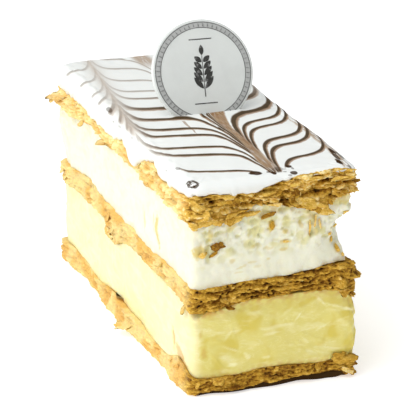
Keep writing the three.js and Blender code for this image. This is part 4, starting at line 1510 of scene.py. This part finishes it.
# Along the outline, height, size, bake, turn and seed of each scrap laid on the whipped cream.
CREAM_SCRAPS = (
    (8.3, 45.2, (3.9, 2.7), 0.34, 0.2, 1),
    (7.2, 42.9, (0.9, 3.0), 0.45, -0.9, 2),
    (3.6, 43.0, (3.0, 1.6), 0.9, 0.3, 3),
    (23.1, 52.9, (4.4, 1.2), 0.42, 0.35, 5),
    (24.6, 49.6, (1.6, 2.8), 0.62, 0.1, 6),
    (36.1, 47.6, (0.7, 4.8), 0.86, 0.1, 7),
    (37.6, 49.6, (0.8, 4.0), 0.95, -0.1, 8),
    (39.2, 48.4, (0.7, 3.2), 0.92, 0.15, 9),
    (44.4, 42.4, (1.7, 1.7), 0.76, 0.4, 10),
    (46.6, 39.6, (2.2, 1.8), 0.74, 0.9, 11),
    (42.8, 44.4, (1.2, 1.0), 0.8, 0.1, 12),
    (48.2, 37.6, (1.4, 1.2), 0.82, 0.3, 14),
    (45.8, 46.4, (1.1, 1.4), 0.8, -0.4, 15),
    (47.6, 50.6, (1.2, 1.5), 0.84, 0.2, 16),
    (28.9, 44.2, (1.8, 0.8), 0.85, 0.1, 13),
    (right(52), 46.0, (3.0, 4.0), 0.8, 0.2, 18),
    (right(84), 41.0, (2.6, 3.6), 0.7, 0.4, 19),
)
# The same for the large smooth leaves laid on each layer of pastry, with how far off they lie
# before the seed.
LAID_LEAVES = {
    "bottom_pastry": (
        (46.4, 6.2, (6.8, 4.2), 0.58, -0.25, 0.6, 63),
        (47.4, 2.4, (3.4, 1.4), 1.0, -0.6, 0.7, 66),
    ),
    "middle_pastry": ((left(72.0), 25.0, (7.0, 4.0), 0.7, 0.1, 0.4, 65),),
    "top_pastry": (
        (14.0, 54.6, (9.5, 2.2), 0.7, 0.12, 0.9, 51),
        (36.6, 54.6, (12.5, 3.8), 0.8, -0.5, 0.9, 52),
        (2.6, 57.6, (8.0, 2.4), 0.78, -0.5, 0.8, 53),
        (4.6, 53.4, (4.2, 3.4), 0.82, -0.2, 0.6, 54),
        (8.2, 53.0, (3.6, 2.6), 0.8, 0.2, 0.6, 55),
        (1.2, 52.2, (3.4, 3.2), 0.86, 0.0, 0.6, 56),
        (44.0, 61.8, (5.0, 1.5), 0.8, 0.15, 1.0, 57),
        (37.0, 62.6, (5.2, 1.2), 0.85, 0.05, 1.0, 58),
        (31.0, 61.6, (4.0, 1.2), 0.85, 0.1, 0.9, 60),
        (22.5, 59.6, (6.5, 1.5), 0.72, 0.08, 0.9, 61),
        (10.0, 58.6, (5.5, 1.6), 0.7, 0.05, 0.9, 62),
        (12.6, 52.9, (5.2, 2.6), 0.84, 0.1, 0.7, 67),
        (18.4, 54.6, (5.6, 1.8), 0.8, 0.2, 0.7, 68),
        (24.6, 56.0, (5.2, 1.8), 0.84, 0.1, 0.7, 69),
    ),
}
# Along the outline, height, size, bake, stance, how far out it starts, and seed of each leaf that
# sticks out.
TORN_LEAVES = (
    (left(53), 3.4, (7.0, 7.5), 0.8, (0.25, 0.1, 0.4), -0.4, 31),
    (right(2), 3.0, (6.0, 5.0), 0.6, (1.0, 0.1, 0.2), -0.8, 32),
    (49.6, 3.6, (3.4, 3.6), 0.75, (1.25, 0.1, 0.2), -0.7, 40),
    (right(2.5), 4.4, (4.2, 3.4), 0.7, (0.7, 0.2, -0.2), -0.6, 41),
    (right(4), 31.0, (5.0, 3.6), 1.0, (0.2, 0.2, 0.1), -0.8, 33),
    (left(116), 56.4, (10.0, 9.5), 1.0, (0.2, 0.1, 0.2), -1.0, 34),
    (9, 56.4, (9.0, 4.8), 0.7, (1.15, 0.05, 0.1), -0.6, 35),
    (38, 56.6, (9.0, 5.2), 0.72, (1.1, -0.1, -0.1), -0.6, 36),
    (3, 57.0, (7.0, 4.6), 0.8, (1.2, 0.1, -0.3), -0.6, 37),
    (32, 57.4, (5.0, 4.0), 0.66, (0.9, 0.1, 0.2), -0.8, 38),
    (45, 58.4, (6.0, 3.6), 0.7, (0.8, 0.1, 0.1), -0.8, 39),
)


# Stage.
def stage_floor(settings):
    half, level = settings.floor / 2, CAD_BOX[0][2]
    mesh = bpy.data.meshes.new("plain_floor")
    corners = [(x * half, y * half, level) for x, y in ((-1, -1), (1, -1), (1, 1), (-1, 1))]
    mesh.from_pydata(corners, [], [(0, 1, 2, 3)])
    mesh.materials.append(floor_finish(settings))
    floor = placed("plain_floor", mesh)


def soft_light(name, place, power, size):
    """A square light that faces the slice's middle."""
    lamp = bpy.data.lights.new(name, "AREA")
    lamp.energy = power
    lamp.size = size
    light = placed(name, lamp)
    light.location = place
    towards = Vector((0, 0, 0.03)) - Vector(place)
    light.rotation_euler = towards.to_track_quat("-Z", "Y").to_euler()


# In millimetres: the middle of what the camera turns about, how far it stands from there, and
# how far right of it and above it the camera aims.
CAMERA_MIDDLE = (0.0, 0.1, 32.3)
CAMERA_DISTANCE = 850.0
CAMERA_AIM = (2.58, 1.276)
CAMERA_ROLL = radians(0.2)


def stage_camera(settings):
    """The camera at the photograph's angle, a little off the slice's middle as framed there."""
    turn, rise = -settings.camera_turn, settings.camera_rise
    back_way = Vector((sin(turn) * cos(rise), -cos(turn) * cos(rise), sin(rise)))
    level = Vector((0, 0, 1)).cross(back_way).normalized()
    upright = back_way.cross(level)
    across = level * cos(CAMERA_ROLL) + upright * sin(CAMERA_ROLL)
    up = upright * cos(CAMERA_ROLL) - level * sin(CAMERA_ROLL)
    middle = Vector((MIDDLE + CAMERA_MIDDLE) * MM)
    place = middle + back_way * CAMERA_DISTANCE * MM
    target = middle + (across * CAMERA_AIM[0] + up * CAMERA_AIM[1]) * MM
    ahead = (place - target).normalized()
    side = up.cross(ahead).normalized()
    stance = Matrix((side, ahead.cross(side), ahead)).transposed().to_4x4()
    lens = bpy.data.cameras.new("camera")
    lens.lens = settings.camera_lens
    lens.sensor_width = 36
    lens.clip_end = 20
    camera = placed("camera", lens)
    camera.matrix_world = Matrix.Translation(place) @ stance
    bpy.context.scene.camera = camera


# Operators.
FLAKE_SHAPES, FLAKE_STEPS = 6, (6, 5)
SQUARE_CM_IN_METRE = 10000


def finish_of(name, maker, *given):
    """A material by name, made the first time that it is asked for."""
    return bpy.data.materials.get(name) or maker(*given)


class SLICE_OT_pastry(bpy.types.Operator):
    """Bakes the three layers of pastry leaves"""

    bl_idname = "mesh.slice_pastry"
    bl_label = "Pastry layers"

    def execute(self, context):
        settings = context.scene.slice_pastry
        finish = finish_of("Baked pastry", pastry_finish, settings)
        for node in LAYERS:
            pastry_layer(node, settings, finish)
        return {"FINISHED"}


class SLICE_OT_creams(bpy.types.Operator):
    """Fills the slice with custard and whipped cream"""

    bl_idname = "mesh.slice_creams"
    bl_label = "Custard and whipped cream"

    def execute(self, context):
        settings = context.scene.slice_creams
        custard(settings, finish_of("Custard", custard_finish, settings))
        whipped_cream(settings, finish_of("Whipped cream", cream_finish, settings))
        return {"FINISHED"}


class SLICE_OT_flakes(bpy.types.Operator):
    """Hangs loose flakes of pastry on the layers of leaves"""

    bl_idname = "mesh.slice_flakes"
    bl_label = "Loose flakes"

    def execute(self, context):
        settings = context.scene.slice_pastry
        reach = settings.flake / MM
        shapes = []
        for number in range(FLAKE_SHAPES):
            size = (reach * (0.75 + 0.12 * (number % 3)), reach)
            curl = 0.12 + 0.1 * (number % 2)
            shapes.append(scrap(FLAKE_STEPS, size, 0.3, curl, seed=80 + number))
        scraps = templates("flake", shapes)
        for node, layer in LAYERS.items():
            top = node == "top_pastry"
            density = settings.top_flakes if top else settings.lower_flakes
            values = {
                "Scraps": scraps,
                "Density": density * SQUARE_CM_IN_METRE,
                "Least size": 0.45,
                "Most size": 1.25,
                "Least tilt": (radians(-85), -0.4, -0.7),
                "Most tilt": (radians(-5), 0.4, 0.7),
                "Least bake": 0.35,
                "Most bake": 0.95 if top else 0.8,
                "Seed": layer.seed,
                "Finish": finish_of("Baked pastry", pastry_finish, settings),
            }
            wall = bpy.data.objects[node + "_leaves"].data.copy()
            declare(scattered(node + "_flakes", placed(node + "_base", wall), values), "pastry")
        dropped(scraps)
        return {"FINISHED"}


class SLICE_OT_scraps(bpy.types.Operator):
    """Lays scraps of pastry on the whipped cream and lifts the largest torn leaves"""

    bl_idname = "mesh.slice_scraps"
    bl_label = "Scraps on the cream"

    def execute(self, context):
        finish = finish_of("Baked pastry", pastry_finish, context.scene.slice_pastry)
        skin = skin_of(bpy.data.objects["whipped_cream_body"])
        scraps = []
        for along, height, size, bake, turn, seed in CREAM_SCRAPS:
            scraps.append((bake, laid(skin, along, height, size, turn, 0.4, 0.05, seed)))
        heaped("cream_scraps", finish, scraps)
        for node, leaves in LAID_LEAVES.items():
            skin, scraps = skin_of(frame["nodes"][node]), []
            for along, height, size, bake, turn, lift, seed in leaves:
                scraps.append((bake, laid(skin, along, height, size, turn, lift, 0.07, seed)))
            heaped(node + "_laid", finish, scraps)
        scraps = []
        for along, height, size, bake, stance, out, seed in TORN_LEAVES:
            scraps.append((bake, lifted(along, height, size, stance, out, seed)))
        heaped("torn_leaves", finish, scraps)
        return {"FINISHED"}


class SLICE_OT_icing(bpy.types.Operator):
    """Pours the icing and feathers it"""

    bl_idname = "mesh.slice_icing"
    bl_label = "Feathered icing"

    def execute(self, context):
        settings = context.scene.slice_icing
        icing(settings, finish_of("Feathered fondant", icing_finish, settings))
        return {"FINISHED"}


class SLICE_OT_plaque(bpy.types.Operator):
    """Stands the round plaque in the icing"""

    bl_idname = "mesh.slice_plaque"
    bl_label = "Round plaque"

    def execute(self, context):
        settings = context.scene.slice_plaque
        plaque_body(finish_of("Moulded plaque", plaque_finish, settings))
        names = ("Pale print", "Grey print", "Dark print")
        shades = (settings.print_pale, settings.print_grey, settings.print_dark)
        pale, grey, dark = (
            finish_of(name, print_finish, name, shade) for name, shade in zip(names, shades)
        )
        printed_ring(settings, grey, pale)
        printed_sprig(settings, dark)
        return {"FINISHED"}


class SLICE_OT_stage(bpy.types.Operator):
    """Sets the floor, the lights and the camera"""

    bl_idname = "mesh.slice_stage"
    bl_label = "Floor, lights and camera"

    def execute(self, context):
        settings = context.scene.slice_stage
        stage_floor(settings)
        soft_light("key_light", (-0.82, -0.12, 1.03), settings.key, 1.8)
        soft_light("fill_light", (0.3, -1.2, 0.5), settings.fill, 0.8)
        world = bpy.data.worlds.new("even_light")
        world.use_nodes = True
        background = world.node_tree.nodes["Background"]
        background.inputs["Color"].default_value = (1, 1, 1, 1)
        background.inputs["Strength"].default_value = settings.sky
        context.scene.world = world
        context.scene.view_settings.view_transform = "Standard"
        stage_camera(settings)
        return {"FINISHED"}


OPERATORS = (
    SLICE_OT_pastry,
    SLICE_OT_creams,
    SLICE_OT_flakes,
    SLICE_OT_scraps,
    SLICE_OT_icing,
    SLICE_OT_plaque,
    SLICE_OT_stage,
)


class VIEW3D_PT_slice(bpy.types.Panel):
    """Everything that makes the slice, in order"""

    bl_idname = "VIEW3D_PT_slice"
    bl_label = "Mille-feuille"
    bl_space_type = "VIEW_3D"
    bl_region_type = "UI"
    bl_category = "Mille-feuille"

    def draw(self, context):
        for operator in OPERATORS:
            self.layout.operator(operator.bl_idname)
        for name in SETTINGS:
            group = getattr(context.scene, name)
            box = self.layout.box()
            for label in group.__annotations__:
                box.prop(group, label)


def register():
    for name, group in SETTINGS.items():
        bpy.utils.register_class(group)
        setattr(bpy.types.Scene, name, PointerProperty(type=group))
    for operator in OPERATORS:
        bpy.utils.register_class(operator)
    bpy.utils.register_class(VIEW3D_PT_slice)


def unregister():
    bpy.utils.unregister_class(VIEW3D_PT_slice)
    for operator in reversed(OPERATORS):
        bpy.utils.unregister_class(operator)
    for name, group in SETTINGS.items():
        delattr(bpy.types.Scene, name)
        bpy.utils.unregister_class(group)


def main():
    register()
    for operator in OPERATORS:
        group, name = operator.bl_idname.split(".")
        getattr(getattr(bpy.ops, group), name)()


if __name__ == "__main__":
    main()
